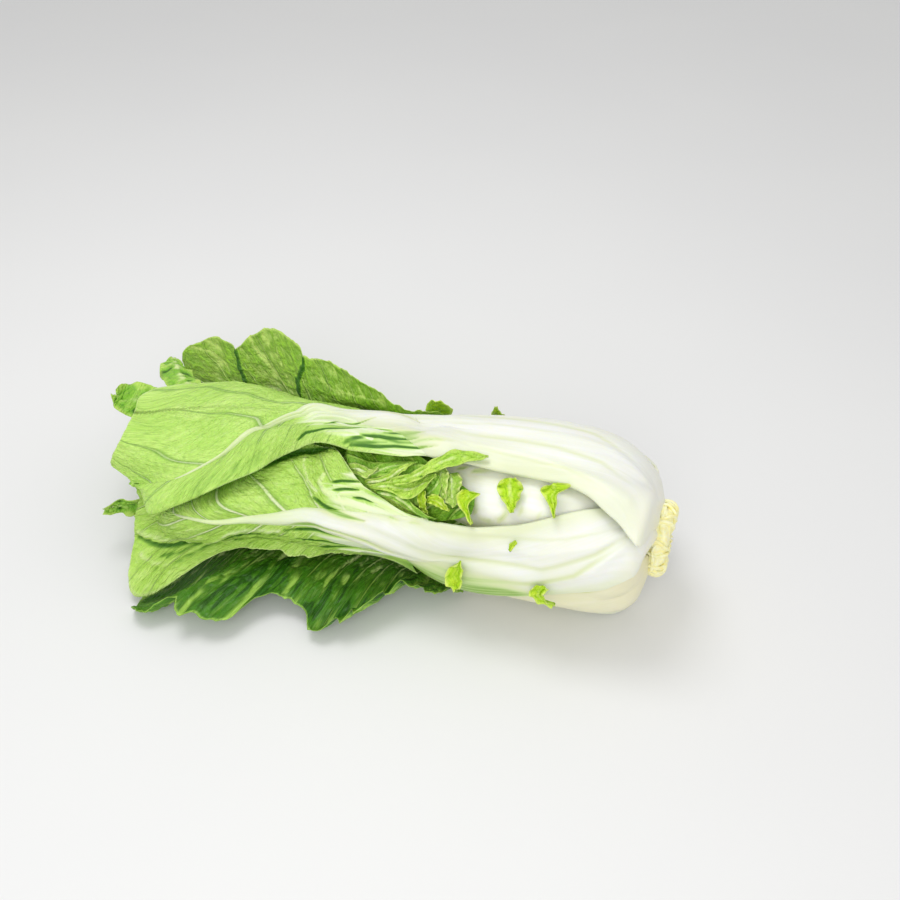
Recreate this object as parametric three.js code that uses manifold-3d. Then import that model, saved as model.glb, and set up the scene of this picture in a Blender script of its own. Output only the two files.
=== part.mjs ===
// A head of bok choy lying on its side: a short root collar, and leaves that wrap each other in layers.
// Each leaf is a white stalk, which thins into the midrib, and a green blade on both sides of it. A few
// small green lobes grow from the stalks' edges. Millimetres, +Z up. The head's axis runs along X, root
// at +X.
//
// Every leaf is laid out in the head's own coordinates: s is the distance from the collar along the axis,
// phi the angle round it (0 is up, 90 is the front, -Y) and rho the distance from it. Leaves are laid from
// the heart outwards, and each one keeps clear of all those under it, as real ones do.
import * as THREE from "three";
import Module from "manifold-3d";

const wasm = await Module();
wasm.setup();

// ---------------------------------------------------------------- small mathematics

const RADIANS = Math.PI / 180;
const clamp = (x, low, high) => Math.min(high, Math.max(low, x));
const mix = (a, b, t) => a + (b - a) * t;

function smooth(from, to, x) {
  const t = clamp((x - from) / (to - from), 0, 1);
  return t * t * (3 - 2 * t);
}

// The larger of two lengths, rounded over a millimetre or two where they meet.
function softMax(a, b, round = 2) {
  return (a + b + Math.hypot(a - b, round)) / 2;
}

// A smooth curve through [place, value] pairs, level beyond both ends.
function through(pairs) {
  const last = pairs.length - 1;
  if (last === 0) return () => pairs[0][1];
  const slope = pairs.map((_, i) => {
    const before = pairs[Math.max(i - 1, 0)];
    const after = pairs[Math.min(i + 1, last)];
    return (after[1] - before[1]) / (after[0] - before[0]);
  });
  return (place) => {
    const x = clamp(place, pairs[0][0], pairs[last][0]);
    let i = 0;
    while (i < last - 1 && x > pairs[i + 1][0]) i += 1;
    const width = pairs[i + 1][0] - pairs[i][0];
    const t = (x - pairs[i][0]) / width;
    const leave = slope[i] * width * t * (1 - t) * (1 - t);
    const arrive = slope[i + 1] * width * t * t * (1 - t);
    return mix(pairs[i][1], pairs[i + 1][1], smooth(0, 1, t)) + leave - arrive;
  };
}

// ---------------------------------------------------------------- the head as a whole

// Radius of the outermost leaves' inner face against s: the shoulder, the bulb, the waist and the spread
// leaves.
const HEAD_RADIUS = through([
  [0, 20], [4, 28], [11, 38], [23, 48], [42, 55], [70, 57.5], [105, 56], [148, 51], [190, 46], [226, 45],
  [268, 50], [316, 58], [370, 61],
]);
// The head lies down, so its axis drops towards the leaves, which spread sideways and flatten.
const AXIS_HEIGHT = through([[0, 56], [60, 57], [150, 52], [225, 46], [310, 42], [370, 38]]);
const SIDE_SPREAD = through([[0, 1], [200, 1], [290, 1.1], [370, 1.18]]);
const RISE_ABOVE = through([[0, 0.96], [200, 0.94], [290, 0.84], [370, 0.74]]);
// How far from the axis the lowest layer reaches, which is brought down to the floor.
const REACH_BELOW = through([
  [0, 60], [16, 67], [48, 73.4], [96, 73.6], [128, 72.4], [160, 69], [200, 63], [225, 64], [256, 69],
  [288, 77], [320, 78], [370, 70],
]);
const FLOOR_ROUND = 0.6; // how softly a surface bends where it meets the floor
const FLOOR_SINK = 0.5; // the head is set this much lower, so that what touches is pressed flat

const CLEAR = 1.9; // least space between one leaf and the next
const BLADE_THICK = 1.2;
const SEAM = 0.6; // space between pieces that grew together
// Next to the collar the leaves stand side by side, and only from there on does one lie over another.
const FREE = 6; // how far under a leaf's own radius the others then count as lying
const FREE_TO = 1;
const CROWDED_FROM = 11;
const OPEN_BY = 0.45; // share of the blade's length at which it has opened out
const WIDEST_OPEN = 1.2; // the angle, in radians, past which an opened blade gets no further out

const riseAt = (s, phi) => (Math.cos(phi) > 0 ? RISE_ABOVE(s) : AXIS_HEIGHT(s) / REACH_BELOW(s));

// How much rho it takes to move a surface outwards by one millimetre in space.
function reachOf(s, phi) {
  return Math.hypot(Math.sin(phi) / SIDE_SPREAD(s), Math.cos(phi) / riseAt(s, phi));
}

// The head's coordinates to space. thick is what a leaf measures outwards from there: where the leaf
// faces down, it stays above the floor.
function toSpace({ s, phi, rho, thick }) {
  const under = thick * smooth(0, 1, 1 / 3 - Math.cos(phi) * 5 / 3);
  const height = AXIS_HEIGHT(s) + rho * Math.cos(phi) * riseAt(s, phi) - under;
  const rested = (height + Math.hypot(height, 2 * FLOOR_ROUND)) / 2;
  return new THREE.Vector3(-s, -rho * Math.sin(phi) * SIDE_SPREAD(s), rested + under - FLOOR_SINK);
}

// ---------------------------------------------------------------- the layers

const ROW_MM = 4;
const ROWS = 110;
const COLUMNS = 90;
const FIRST_ROW = -20; // the first row's place along the head, in millimetres

// How far out the leaves laid so far reach, on a grid of s and phi.
class Layers {
  constructor(reach = new Float64Array(ROWS * COLUMNS)) {
    this.reach = reach;
  }
  static cell(row, column) {
    return clamp(row, 0, ROWS - 1) * COLUMNS + ((column % COLUMNS) + COLUMNS) % COLUMNS;
  }
  raise(s, phi, rho) {
    const row = Math.round((s - FIRST_ROW) / ROW_MM);
    const column = Math.round((phi / (2 * Math.PI)) * COLUMNS);
    const i = Layers.cell(row, column);
    this.reach[i] = Math.max(this.reach[i], rho);
  }
  // The reach at any place, from the four cells round it.
  at(s, phi) {
    const row = (s - FIRST_ROW) / ROW_MM;
    const column = (phi / (2 * Math.PI)) * COLUMNS;
    const r = Math.floor(row);
    const c = Math.floor(column);
    const near = mix(this.reach[Layers.cell(r, c)], this.reach[Layers.cell(r, c + 1)], column - c);
    const far = mix(this.reach[Layers.cell(r + 1, c)], this.reach[Layers.cell(r + 1, c + 1)], column - c);
    return mix(near, far, row - r);
  }
  // A pass over the grid, along s or round phi, that puts take(values) of the cells within size in each
  // cell.
  pass(alongS, size, take) {
    const made = new Float64Array(ROWS * COLUMNS);
    for (let row = 0; row < ROWS; row += 1) {
      for (let column = 0; column < COLUMNS; column += 1) {
        const values = [];
        for (let d = -size; d <= size; d += 1) {
          values.push(this.reach[alongS ? Layers.cell(row + d, column) : Layers.cell(row, column + d)]);
        }
        made[Layers.cell(row, column)] = take(values);
      }
    }
    return new Layers(made);
  }
  // The same reach, widened by some cells and then smoothed by no more than that, so it never dips under.
  softened(cells = 3) {
    const most = (values) => Math.max(...values);
    const mean = (values) => values.reduce((sum, x) => sum + x, 0) / values.length;
    let soft = this.pass(true, cells, most).pass(false, cells, most);
    for (let i = 0; i < cells; i += 1) soft = soft.pass(true, 1, mean).pass(false, 1, mean);
    return soft;
  }
}

// ---------------------------------------------------------------- one leaf

// Half the stalk's width against the share of the leaf's length, and what a base that clasps the head has
// more.
const STALK_HALF = through([
  [0, 9.5], [0.02, 17], [0.045, 26], [0.09, 34], [0.14, 37], [0.2, 39], [0.29, 38], [0.39, 34], [0.5, 26],
  [0.58, 16], [0.66, 7.5], [0.76, 4.6], [0.88, 2.8], [1, 1.8],
]);
const CLASP_HALF = through([[0, 0], [0.02, 3], [0.05, 13], [0.09, 23], [0.14, 13], [0.2, 2], [0.29, 0]]);
const STALK_THICK = through([
  [0, 4.5], [0.04, 6.5], [0.1, 8.5], [0.25, 9], [0.4, 8], [0.52, 6.6], [0.64, 5], [0.76, 3.8], [0.9, 2.6],
  [1, 2],
]);
const STALK_EDGE = 2; // thickness at the stalk's thin sides
const THIN_EDGE = 0.6; // the same as the largest share of the thickness in the middle
const STALK_CROWN = 0.8; // how the stalk's back is rounded: the lower, the flatter
const MIDRIB_END = 0.9; // share of the leaf's length where the midrib dies out
const MIDRIB_GAP = 2; // length of the notch in the blade where the midrib ends

// How wide one side of the blade is beyond the stalk's edge, against the share of the blade's length.
const SHAPES = {
  spoon: through([
    [0, 0.07], [0.12, 0.16], [0.28, 0.4], [0.42, 0.7], [0.58, 0.95], [0.74, 1], [0.87, 0.78], [0.95, 0.42],
    [1, 0.12],
  ]),
  broad: through([
    [0, 0.08], [0.1, 0.28], [0.25, 0.6], [0.4, 0.85], [0.6, 1], [0.78, 0.95], [0.9, 0.72], [0.97, 0.4],
    [1, 0.15],
  ]),
  square: through([
    [0, 0.08], [0.1, 0.28], [0.25, 0.6], [0.4, 0.85], [0.6, 0.92], [0.78, 1], [0.9, 0.95], [0.97, 0.7],
    [1, 0.5],
  ]),
  wing: through([
    [0, 0.08], [0.1, 0.35], [0.22, 0.75], [0.35, 1], [0.5, 0.95], [0.62, 0.7], [0.75, 0.45], [0.88, 0.35],
    [1, 0.1],
  ]),
  fan: through([
    [0, 0.07], [0.18, 0.12], [0.34, 0.2], [0.44, 0.38], [0.54, 0.68], [0.64, 0.9], [0.7, 0.95],
    [0.77, 0.76], [0.835, 0.55], [0.88, 0.42], [0.92, 0.3], [0.96, 0.18], [1, 0.06],
  ]),
  lip: through([
    [0, 0.03], [0.1, 0.16], [0.2, 0.34], [0.34, 0.55], [0.46, 0.77], [0.54, 1], [0.6, 0.92], [0.68, 0.7],
    [0.77, 0.85], [0.84, 0.96], [0.91, 0.65], [0.95, 0.3], [1, 0.08],
  ]),
};
// How far forward the veins run for each millimetre they run outwards, in a fan and in the other shapes.
const FAN_SWEEP = through([
  [0, 0.1], [0.2, 0.42], [0.34, 0.45], [0.5, 0.4], [0.6, 0.33], [0.7, 0.27], [0.77, 0.56], [0.835, 0.76],
  [1, 0.7],
]);
const SWEEP = through([[0, 0.1], [0.15, 0.4], [0.5, 0.4], [0.8, 0.28], [1, 0.25]]);

// Rows and columns of faces: rows from the stalk's foot to the blade's foot, from there to the midrib's
// end and beyond it, and columns across the stalk and across one side of the blade.
const GRIDS = {
  heart: { base: 4, split: 5, beyond: 2, stalk: 4, side: 3 },
  inner: { base: 6, split: 8, beyond: 3, stalk: 4, side: 4 },
  outer: { base: 11, split: 12, beyond: 4, stalk: 8, side: 5 },
};

// Leaves from the heart outwards. The fields are
// - path: the angle of the midrib, in degrees, against s, from start to tip; the blade begins at bladeFrom
// - size: scales the stalk's width and thickness; inset: its distance from the axis
// - clasp: how far the base of the stalk clasps the head
// - front, back: the widths of the blade towards +phi and -phi; shape: their outlines, back first
// - flat: opens the blade out from round, 0, to flat, 1
// - tilt: turns the flat blade about its midrib, in degrees
// - flare: lifts the tip away from the axis; ruffle: the height of the margin's waves; waves: their number
const PLAIN = { clasp: 0, shape: ["spoon", "spoon"], flat: 0, tilt: 0, flare: 0, waves: 3 };
const HEART = { ...PLAIN, kind: "heart", waves: 2 };
const INNER = { ...PLAIN, kind: "inner", clasp: 0.2, flat: 0.2 };
const OUTER = { ...PLAIN, kind: "outer" };
const LEAVES = [
  { ...HEART, name: "heart_1", path: [[0, 250]], start: 20, tip: 128, size: 0.3, inset: 0.2,
    bladeFrom: 80, front: 16, back: 16, ruffle: 2 },
  { ...HEART, name: "heart_2", path: [[0, 40]], start: 19, tip: 150, size: 0.36, inset: 0.27,
    bladeFrom: 92, front: 19, back: 19, ruffle: 2 },
  { ...HEART, name: "heart_3", path: [[0, 190]], start: 18, tip: 190, size: 0.46, inset: 0.42,
    bladeFrom: 105, front: 26, back: 26, ruffle: 3 },
  { ...HEART, name: "heart_4", path: [[0, 315]], start: 18, tip: 206, size: 0.5, inset: 0.47,
    bladeFrom: 112, front: 29, back: 27, ruffle: 3 },
  { ...HEART, name: "heart_5", path: [[0, 75]], start: 17, tip: 222, size: 0.52, inset: 0.5,
    bladeFrom: 118, front: 29, back: 29, ruffle: 4 },
  { ...INNER, name: "inner_under", path: [[0, 168]], start: 12, tip: 276, size: 0.68, inset: 0.73,
    bladeFrom: 138, front: 38, back: 38, flat: 0.1, ruffle: 3 },
  { ...INNER, name: "inner_back", path: [[0, 232]], start: 12, tip: 290, size: 0.7, inset: 0.76,
    bladeFrom: 146, front: 40, back: 40, flare: 6, ruffle: 4 },
  { ...INNER, name: "inner_front", path: [[0, 106]], start: 11, tip: 282, size: 0.7, inset: 0.76,
    bladeFrom: 140, front: 40, back: 40, flare: 2, ruffle: 4 },
  { ...INNER, name: "inner_top", path: [[0, 40]], start: 10, tip: 248, size: 0.8, inset: 0.87, clasp: 0.3,
    bladeFrom: 106, front: 34, back: 34, flare: 2, ruffle: 5 },
  { ...INNER, name: "frill", path: [[0, 50]], start: 104, tip: 214, size: 0.1, inset: 0.9, clasp: 0,
    bladeFrom: 112, front: 24, back: 26, shape: ["broad", "broad"], flat: 0.3, flare: 2, ruffle: 6,
    waves: 4 },
  { ...INNER, name: "inner_rear", path: [[0, -66], [150, -66], [280, -76]], start: 11, tip: 296, size: 0.72,
    inset: 0.8, bladeFrom: 138, front: 40, back: 40, flare: 4, ruffle: 3 },
  { ...OUTER, name: "low_front", path: [[0, 131], [150, 137], [280, 130]], start: 1, tip: 336, size: 0.92,
    inset: 0.98, clasp: 0.1, bladeFrom: 150, front: 50, back: 54, flat: 0.3, flare: 4, ruffle: 4 },
  { ...OUTER, name: "front",
    path: [
      [0, 66], [30, 69], [69, 88], [110, 99], [140, 101], [190, 94], [238, 88], [272, 84], [300, 76],
      [322, 70], [345, 65], [366, 62],
    ],
    start: 0.4, tip: 366, size: 0.9, inset: 1, bladeFrom: 145, front: 58, back: 54,
    shape: ["wing", "spoon"], flat: 0.8, tilt: 20, ruffle: 3 },
  { ...OUTER, name: "under", path: [[0, 194], [110, 188], [200, 156], [290, 142]], start: 1.5, tip: 330,
    size: 0.94, inset: 1, clasp: 0.3, bladeFrom: 130, front: 46, back: 76, shape: ["broad", "spoon"],
    flat: 1, tilt: -26, flare: 14, ruffle: 6 },
  { ...OUTER, name: "top",
    path: [
      [0, -20], [35, -16], [100, -13], [150, -18], [225, -25], [246, -20], [262, -8], [278, 15], [295, 39],
      [314, 54], [335, 61], [351, 64], [374, 66],
    ],
    start: 0, tip: 378, size: 1, inset: 1, clasp: 0.95, bladeFrom: 150, front: 26, back: 90,
    shape: ["fan", "lip"], flat: 0.05, flare: 2, ruffle: 2, waves: 2 },
  { ...OUTER, name: "rear", path: [[0, 262], [150, 264], [300, 270]], start: 0.8, tip: 392, size: 0.96,
    inset: 0.98, clasp: 0.2, bladeFrom: 165, front: 58, back: 50, shape: ["broad", "square"],
    flat: 1, tilt: 12, flare: 2, ruffle: 7 },
];

const COLOURS = { stalk: 0xeef2dc, blade: 0x8cc84a, young: 0x6fb52e, root: 0xe9dcae };

function radiusOf(leaf, s) {
  const beyond = clamp((s - leaf.bladeFrom) / (leaf.tip - leaf.bladeFrom), 0, 1.2);
  return leaf.inset * HEAD_RADIUS(s - leaf.start) + leaf.flare * beyond * beyond;
}

const turnOf = (leaf, s) => leaf.turn(s) * RADIANS;

const midribEnd = (leaf) => mix(leaf.start, leaf.tip, MIDRIB_END);

function stalkHalf(leaf, s) {
  const share = (s - leaf.start) / (leaf.tip - leaf.start);
  return leaf.size * (STALK_HALF(share) + leaf.clasp * CLASP_HALF(share));
}

// The stalk's thickness at v, from -1 to 1 across it.
function stalkThick(leaf, s, v) {
  const share = (s - leaf.start) / (leaf.tip - leaf.start);
  const middle = Math.sqrt(leaf.size) * STALK_THICK(share);
  const edge = Math.min(STALK_EDGE, THIN_EDGE * middle);
  return edge + (middle - edge) * Math.pow(1 - v * v, STALK_CROWN);
}

// A place on the leaf's inner face. It lies across millimetres beside the midrib at along, and forward of
// there by what its vein runs on. lift is what the waves add, and thick what the leaf measures from there
// outwards.
function place(leaf, along, across, forward, lift, thick) {
  const lean = radiusOf(leaf, along) * (turnOf(leaf, along + 1) - turnOf(leaf, along - 1)) / 2;
  const s = along + (forward - lean * across) / Math.hypot(1, lean);
  const arc = (across + lean * forward) / Math.hypot(1, lean);
  const radius = radiusOf(leaf, s);
  const flat = leaf.flat * smooth(leaf.bladeFrom - 10, mix(leaf.bladeFrom, leaf.tip, OPEN_BY), s);
  const tilt = leaf.tilt * RADIANS;
  const open = Math.atan(Math.tan(tilt) + arc / (radius * Math.cos(tilt))) - tilt;
  const aside = mix(arc / radius, open, flat);
  const phi = turnOf(leaf, along) + aside;
  const opened = clamp(aside + tilt, -WIDEST_OPEN, WIDEST_OPEN);
  const own = radius * mix(1, Math.cos(tilt) / Math.cos(opened), flat) + lift;
  const least = leaf.under.at(s, phi) + CLEAR * reachOf(s, phi);
  const rho = softMax(own, mix(own - FREE, least, smooth(FREE_TO, CROWDED_FROM, s)));
  const steep = Math.hypot(1, (radiusOf(leaf, s + 1) - radiusOf(leaf, s - 1)) / 2) * reachOf(s, phi);
  return { s, phi, rho, thick, outer: rho + thick * steep };
}

// A place on the stalk, at v from -1 to 1 across it.
function onStalk(leaf, s, v) {
  return place(leaf, s, v * stalkHalf(leaf, s), 0, 0, stalkThick(leaf, s, v));
}

// A place on the blade: along is where its vein leaves the midrib, and side runs from the stalk's edge,
// 0, to the margin, -1 at the back and 1 at the front. split tells whether the midrib still parts the two
// sides.
function onBlade(leaf, along, side, split) {
  const length = leaf.tip - leaf.bladeFrom;
  const u = (along - leaf.bladeFrom) / length;
  const out = Math.abs(side);
  const front = side > 0 || Object.is(side, 0);
  const shape = leaf.shape[front ? 1 : 0];
  const wide = (front ? leaf.front : leaf.back) * SHAPES[shape](u);
  const forward = out * wide * (shape === "fan" ? FAN_SWEEP : SWEEP)(u);
  const edge = split ? stalkHalf(leaf, along) + SEAM : 0;
  const across = (front ? 1 : -1) * (edge + out * wide);
  const phase = leaf.turn(0) * 0.11 + (front ? 1.7 : 0);
  const wave = Math.sin(2 * Math.PI * leaf.waves * u + phase) * smooth(0, 0.2, u);
  return place(leaf, along, across, forward, leaf.ruffle * out * out * wave, BLADE_THICK);
}

// The place that at gives for a and b, with the way its outer face looks. b stays between low and high.
function facing(at, a, b, low, high) {
  const step = 0.04;
  const here = at(a, b);
  const spaceOf = (x, y) => toSpace({ ...at(x, y), thick: here.thick });
  const along = spaceOf(a + 1, b).sub(spaceOf(a - 1, b));
  const across = spaceOf(a, Math.min(b + step, high)).sub(spaceOf(a, Math.max(b - step, low)));
  here.normal = along.cross(across).normalize();
  return here;
}

const BASE_CROWDING = 1.8; // rows lie closer together towards the collar, where the stalk curves most

// The distances along the head at which a leaf's rows of faces lie.
function stationsOf(leaf) {
  const grid = GRIDS[leaf.kind];
  const steps = (from, to, count) => Array.from({ length: count + 1 }, (_, i) => mix(from, to, i / count));
  const base = steps(0, 1, grid.base).map((t) => mix(leaf.start, leaf.bladeFrom, t ** BASE_CROWDING));
  const split = steps(leaf.bladeFrom, midribEnd(leaf), grid.split);
  const beyond = steps(midribEnd(leaf) + MIDRIB_GAP, leaf.tip, grid.beyond);
  return { base, split, beyond };
}

const spread = (columns) => Array.from({ length: columns + 1 }, (_, j) => mix(-1, 1, j / columns));

// The stalk's rows of places, and the blade's back and front sides' rows, both from the stalk outwards.
function rowsOf(leaf) {
  const { base, split, beyond } = stationsOf(leaf);
  const grid = GRIDS[leaf.kind];
  const stalkAt = (s, v) => onStalk(leaf, s, v);
  const stalk = [...base, ...split.slice(1)].map((s) => {
    return spread(grid.stalk).map((v) => facing(stalkAt, s, v, -1, 1));
  });
  const sideOf = (sign) => [...split, ...beyond].map((along, i) => {
    const bladeAt = (place, side) => onBlade(leaf, place, side, i < split.length);
    const [low, high] = sign > 0 ? [0, 1] : [-1, -0];
    const sides = spread(2 * grid.side).slice(grid.side);
    return sides.map((side) => facing(bladeAt, along, sign * side, low, high));
  });
  return { stalk, back: sideOf(-1), front: sideOf(1), parted: split.length };
}

const FINER = 5; // places laid along each side of a face

// Counts the faces between rows of places for the layers above them.
function lay(rows, layers) {
  for (let i = 0; i + 1 < rows.length; i += 1) {
    for (let j = 0; j + 1 < rows[i].length; j += 1) {
      const corners = [rows[i][j], rows[i][j + 1], rows[i + 1][j], rows[i + 1][j + 1]];
      for (let step = 0; step <= FINER * FINER + 2 * FINER; step += 1) {
        const p = Math.floor(step / (FINER + 1)) / FINER;
        const q = (step % (FINER + 1)) / FINER;
        const blend = (key) => {
          const [a, b, c, d] = corners.map((corner) => corner[key]);
          return mix(mix(a, b, q), mix(c, d, q), p);
        };
        layers.raise(blend("s"), blend("phi"), blend("outer"));
      }
    }
  }
}

const laid = new Layers();
for (const leaf of LEAVES) {
  leaf.turn = through(leaf.path);
  leaf.under = laid.softened();
  leaf.rows = rowsOf(leaf);
  lay(leaf.rows.stalk, laid);
  lay(leaf.rows.back, laid);
  lay(leaf.rows.front, laid);
}

// ---------------------------------------------------------------- the lobes

// Small green lobes on the stalks' edges, from foot to tip as [s, phi in degrees]. wide is the width,
// raised how far the tip stands off what it lies on, and cupped how far its sides do.
const LOBES = [
  { name: "lobe_1", foot: [113, 60], tip: [118, 40], wide: 13, raised: 4, cupped: 3 },
  { name: "lobe_2", foot: [87, 50], tip: [93, 31], wide: 13, raised: 5, cupped: 3 },
  { name: "lobe_3", foot: [59, 49], tip: [64, 30], wide: 15, raised: 5, cupped: 2 },
  { name: "lobe_4", foot: [117, 109], tip: [112, 89], wide: 13, raised: 3, cupped: 3 },
  { name: "lobe_5", foot: [51, 113], tip: [58, 89], wide: 14, raised: 2, cupped: 3 },
  { name: "lobe_6", foot: [112, -66], tip: [128, -56], wide: 12, raised: 5, cupped: 1 },
  { name: "lobe_7", foot: [154, -66], tip: [170, -54], wide: 12, raised: 5, cupped: 1 },
];
const LOBE_CLEAR = 0.7;
const LOBE_ROWS = 4;
const LOBE_HALF = through([[0, 0.25], [0.2, 0.5], [0.5, 0.9], [0.75, 1], [0.92, 0.75], [1, 0.4]]);

function rowsOfLobe(lobe, under) {
  const radius = HEAD_RADIUS(lobe.foot[0]);
  const ds = lobe.tip[0] - lobe.foot[0];
  const arc = (lobe.tip[1] - lobe.foot[1]) * RADIANS * radius;
  const length = Math.hypot(ds, arc);
  const at = (along, v) => {
    const t = along / length;
    const beside = v * LOBE_HALF(clamp(t, 0, 1)) * lobe.wide / 2;
    const s = lobe.foot[0] + (ds * along - arc * beside) / length;
    const phi = lobe.foot[1] * RADIANS + (arc * along + ds * beside) / length / radius;
    const lift = LOBE_CLEAR + lobe.raised * t * t + lobe.cupped * v * v * smooth(0, 0.6, t);
    return { s, phi, rho: under.at(s, phi) + lift, thick: BLADE_THICK };
  };
  const rows = spread(LOBE_ROWS).map((t) => (t + 1) / 2 * length);
  return rows.map((along) => spread(LOBE_ROWS).map((v) => facing(at, along, v, -1, 1)));
}

const laidOn = laid.softened(1);
for (const lobe of LOBES) lobe.rows = rowsOfLobe(lobe, laidOn);

// ---------------------------------------------------------------- solids

// Collects vertices and faces, and turns them into a solid.
class Builder {
  constructor() {
    this.positions = [];
    this.index = [];
  }
  vertex(at) {
    this.positions.push(at.x, at.y, at.z);
    return this.positions.length / 3 - 1;
  }
  quad(a, b, c, d) {
    this.index.push(a, b, c, a, c, d);
  }
  // The solid, turned inside out first if its faces point inwards.
  solid() {
    const mesh = new wasm.Mesh({
      numProp: 3,
      vertProperties: new Float32Array(this.positions),
      triVerts: new Uint32Array(this.index),
    });
    const made = new wasm.Manifold(mesh);
    if (made.volume() > 0) return made;
    this.index.reverse();
    return this.solid();
  }
}

// The vertices of a grid of places, on the inner face and on the outer one.
function skinAll(builder, rows) {
  return rows.map((row) => row.map((at) => {
    const inner = toSpace(at);
    const outer = inner.clone().addScaledVector(at.normal, at.thick);
    return { inner: builder.vertex(inner), outer: builder.vertex(outer) };
  }));
}

// Outer and inner faces over a grid of vertices, split into triangles alike.
function cover(builder, grid) {
  for (let i = 0; i + 1 < grid.length; i += 1) {
    for (let j = 0; j + 1 < grid[i].length; j += 1) {
      const [a, b, c, d] = [grid[i][j], grid[i][j + 1], grid[i + 1][j + 1], grid[i + 1][j]];
      builder.quad(a.outer, d.outer, c.outer, b.outer);
      builder.index.push(a.inner, c.inner, d.inner, a.inner, b.inner, c.inner);
    }
  }
}

// The rim between the outer and the inner faces along a line of vertices.
function rim(builder, line) {
  for (let i = 0; i + 1 < line.length; i += 1) {
    builder.quad(line[i].outer, line[i].inner, line[i + 1].inner, line[i + 1].outer);
  }
}

// A sheet of one piece: a stalk, or a lobe.
function sheetSolid(rows) {
  const builder = new Builder();
  const grid = skinAll(builder, rows);
  const last = grid.length - 1;
  const side = grid[0].length - 1;
  cover(builder, grid);
  rim(builder, [...grid[0]].reverse());
  rim(builder, grid.map((row) => row[0]));
  rim(builder, grid[last]);
  rim(builder, grid.map((row) => row[side]).reverse());
  return builder.solid();
}

// Both sides of the blade in one body: they meet beyond the midrib's end.
function bladeSolid(leaf) {
  const builder = new Builder();
  const { back, front, parted } = leaf.rows;
  // From the back margin to the front one, over the stalk's edges or, beyond the midrib, over the middle.
  const rows = back.map((row, i) => [...[...row].reverse(), ...front[i].slice(i < parted ? 0 : 1)]);
  const grid = skinAll(builder, rows);
  const middle = back[0].length - 1;
  const backGrid = grid.map((row) => row.slice(0, middle + 1));
  const frontGrid = grid.map((row, i) => row.slice(i < parted ? middle + 1 : middle));
  cover(builder, backGrid);
  cover(builder, frontGrid);
  const last = grid.length - 1;
  rim(builder, [...backGrid[0]].reverse());
  rim(builder, [...frontGrid[0]].reverse());
  rim(builder, backGrid.map((row) => row[0]));
  rim(builder, grid[last]);
  rim(builder, frontGrid.map((row) => row[row.length - 1]).reverse());
  rim(builder, backGrid.slice(0, parted + 1).map((row) => row[middle]).reverse());
  rim(builder, frontGrid.slice(0, parted + 1).map((row) => row[0]));
  return builder.solid();
}

// A closed three.js geometry as a solid, with the vertices that share a place merged.
function fromGeometry(geometry) {
  const places = new Map();
  const builder = new Builder();
  const corner = (i) => {
    const at = new THREE.Vector3().fromBufferAttribute(geometry.attributes.position, i);
    const key = at.toArray().map((x) => Math.round(x * 1000)).join();
    if (!places.has(key)) places.set(key, builder.vertex(at));
    return places.get(key);
  };
  const faces = geometry.index.array;
  for (let i = 0; i < faces.length; i += 3) {
    const [a, b, c] = [corner(faces[i]), corner(faces[i + 1]), corner(faces[i + 2])];
    if (a !== b && b !== c && c !== a) builder.index.push(a, b, c);
  }
  return builder.solid();
}

// The root collar: a turned body with the cut face outside and a cone inside, which the leaves grow from.
const ROOT_PROFILE = [
  [-9, 0], [-9, 18], [-7.5, 20], [-5, 20.5], [-3, 19.5], [-1, 18], [3, 21], [8, 23], [13, 21], [19, 14],
  [25, 7], [29, 0],
];
const ROOT_WIDEST = 8; // where the profile is widest
const ROOT_SIDES = 16;

function rootSolid(grow = 0) {
  const points = ROOT_PROFILE.map(([s, radius]) => {
    return new THREE.Vector2(radius === 0 ? 0 : radius + grow, s + Math.sign(s - ROOT_WIDEST) * grow);
  });
  const geometry = new THREE.LatheGeometry(points, ROOT_SIDES);
  geometry.rotateZ(Math.PI / 2);
  geometry.translate(0, 0, AXIS_HEIGHT(0) - FLOOR_SINK);
  return fromGeometry(geometry);
}

// Everything under the floor, which is cut away.
function floorSolid() {
  const size = 1000;
  const box = new THREE.BoxGeometry(size, size, size);
  box.translate(0, 0, -size / 2);
  return fromGeometry(box);
}

function largest(solid) {
  return solid.decompose().reduce((most, body) => (body.volume() > most.volume() ? body : most));
}

function toMesh(name, solid, colour) {
  const made = solid.getMesh();
  const geometry = new THREE.BufferGeometry();
  geometry.setAttribute("position", new THREE.BufferAttribute(Float32Array.from(made.vertProperties), 3));
  geometry.setIndex(new THREE.BufferAttribute(Uint32Array.from(made.triVerts), 1));
  geometry.computeVertexNormals();
  const mesh = new THREE.Mesh(geometry, new THREE.MeshStandardMaterial({ color: colour, roughness: 0.5 }));
  mesh.name = name;
  return mesh;
}

const head = new THREE.Group();
const floor = floorSolid();
const rootClear = rootSolid(SEAM);
head.add(toMesh("root_collar", rootSolid(), COLOURS.root));
for (const leaf of LEAVES) {
  const stalk = largest(sheetSolid(leaf.rows.stalk).subtract(rootClear).subtract(floor));
  const blade = largest(bladeSolid(leaf).subtract(floor));
  const young = leaf.kind !== "outer";
  head.add(toMesh("stalk_" + leaf.name, stalk, COLOURS.stalk));
  head.add(toMesh("blade_" + leaf.name, blade, young ? COLOURS.young : COLOURS.blade));
}
for (const lobe of LOBES) head.add(toMesh(lobe.name, sheetSolid(lobe.rows), COLOURS.young));

// The origin is on the floor, in the middle of what the head covers.
const middle = new THREE.Box3().setFromObject(head).getCenter(new THREE.Vector3());
for (const mesh of head.children) mesh.geometry.translate(-middle.x, -middle.y, 0);

export default head;
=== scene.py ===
"""A head of bok choy lying on its side: fine leaves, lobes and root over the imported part. Metres, +Z up.

Every leaf is laid out in the head's own coordinates, in millimetres: s is the distance from the collar
along the axis, phi the angle round it (0 is up, 90 degrees the front, -Y) and rho the distance from it.
Leaves are laid from the heart outwards, and each keeps clear of all those under it.
"""

import math

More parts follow.
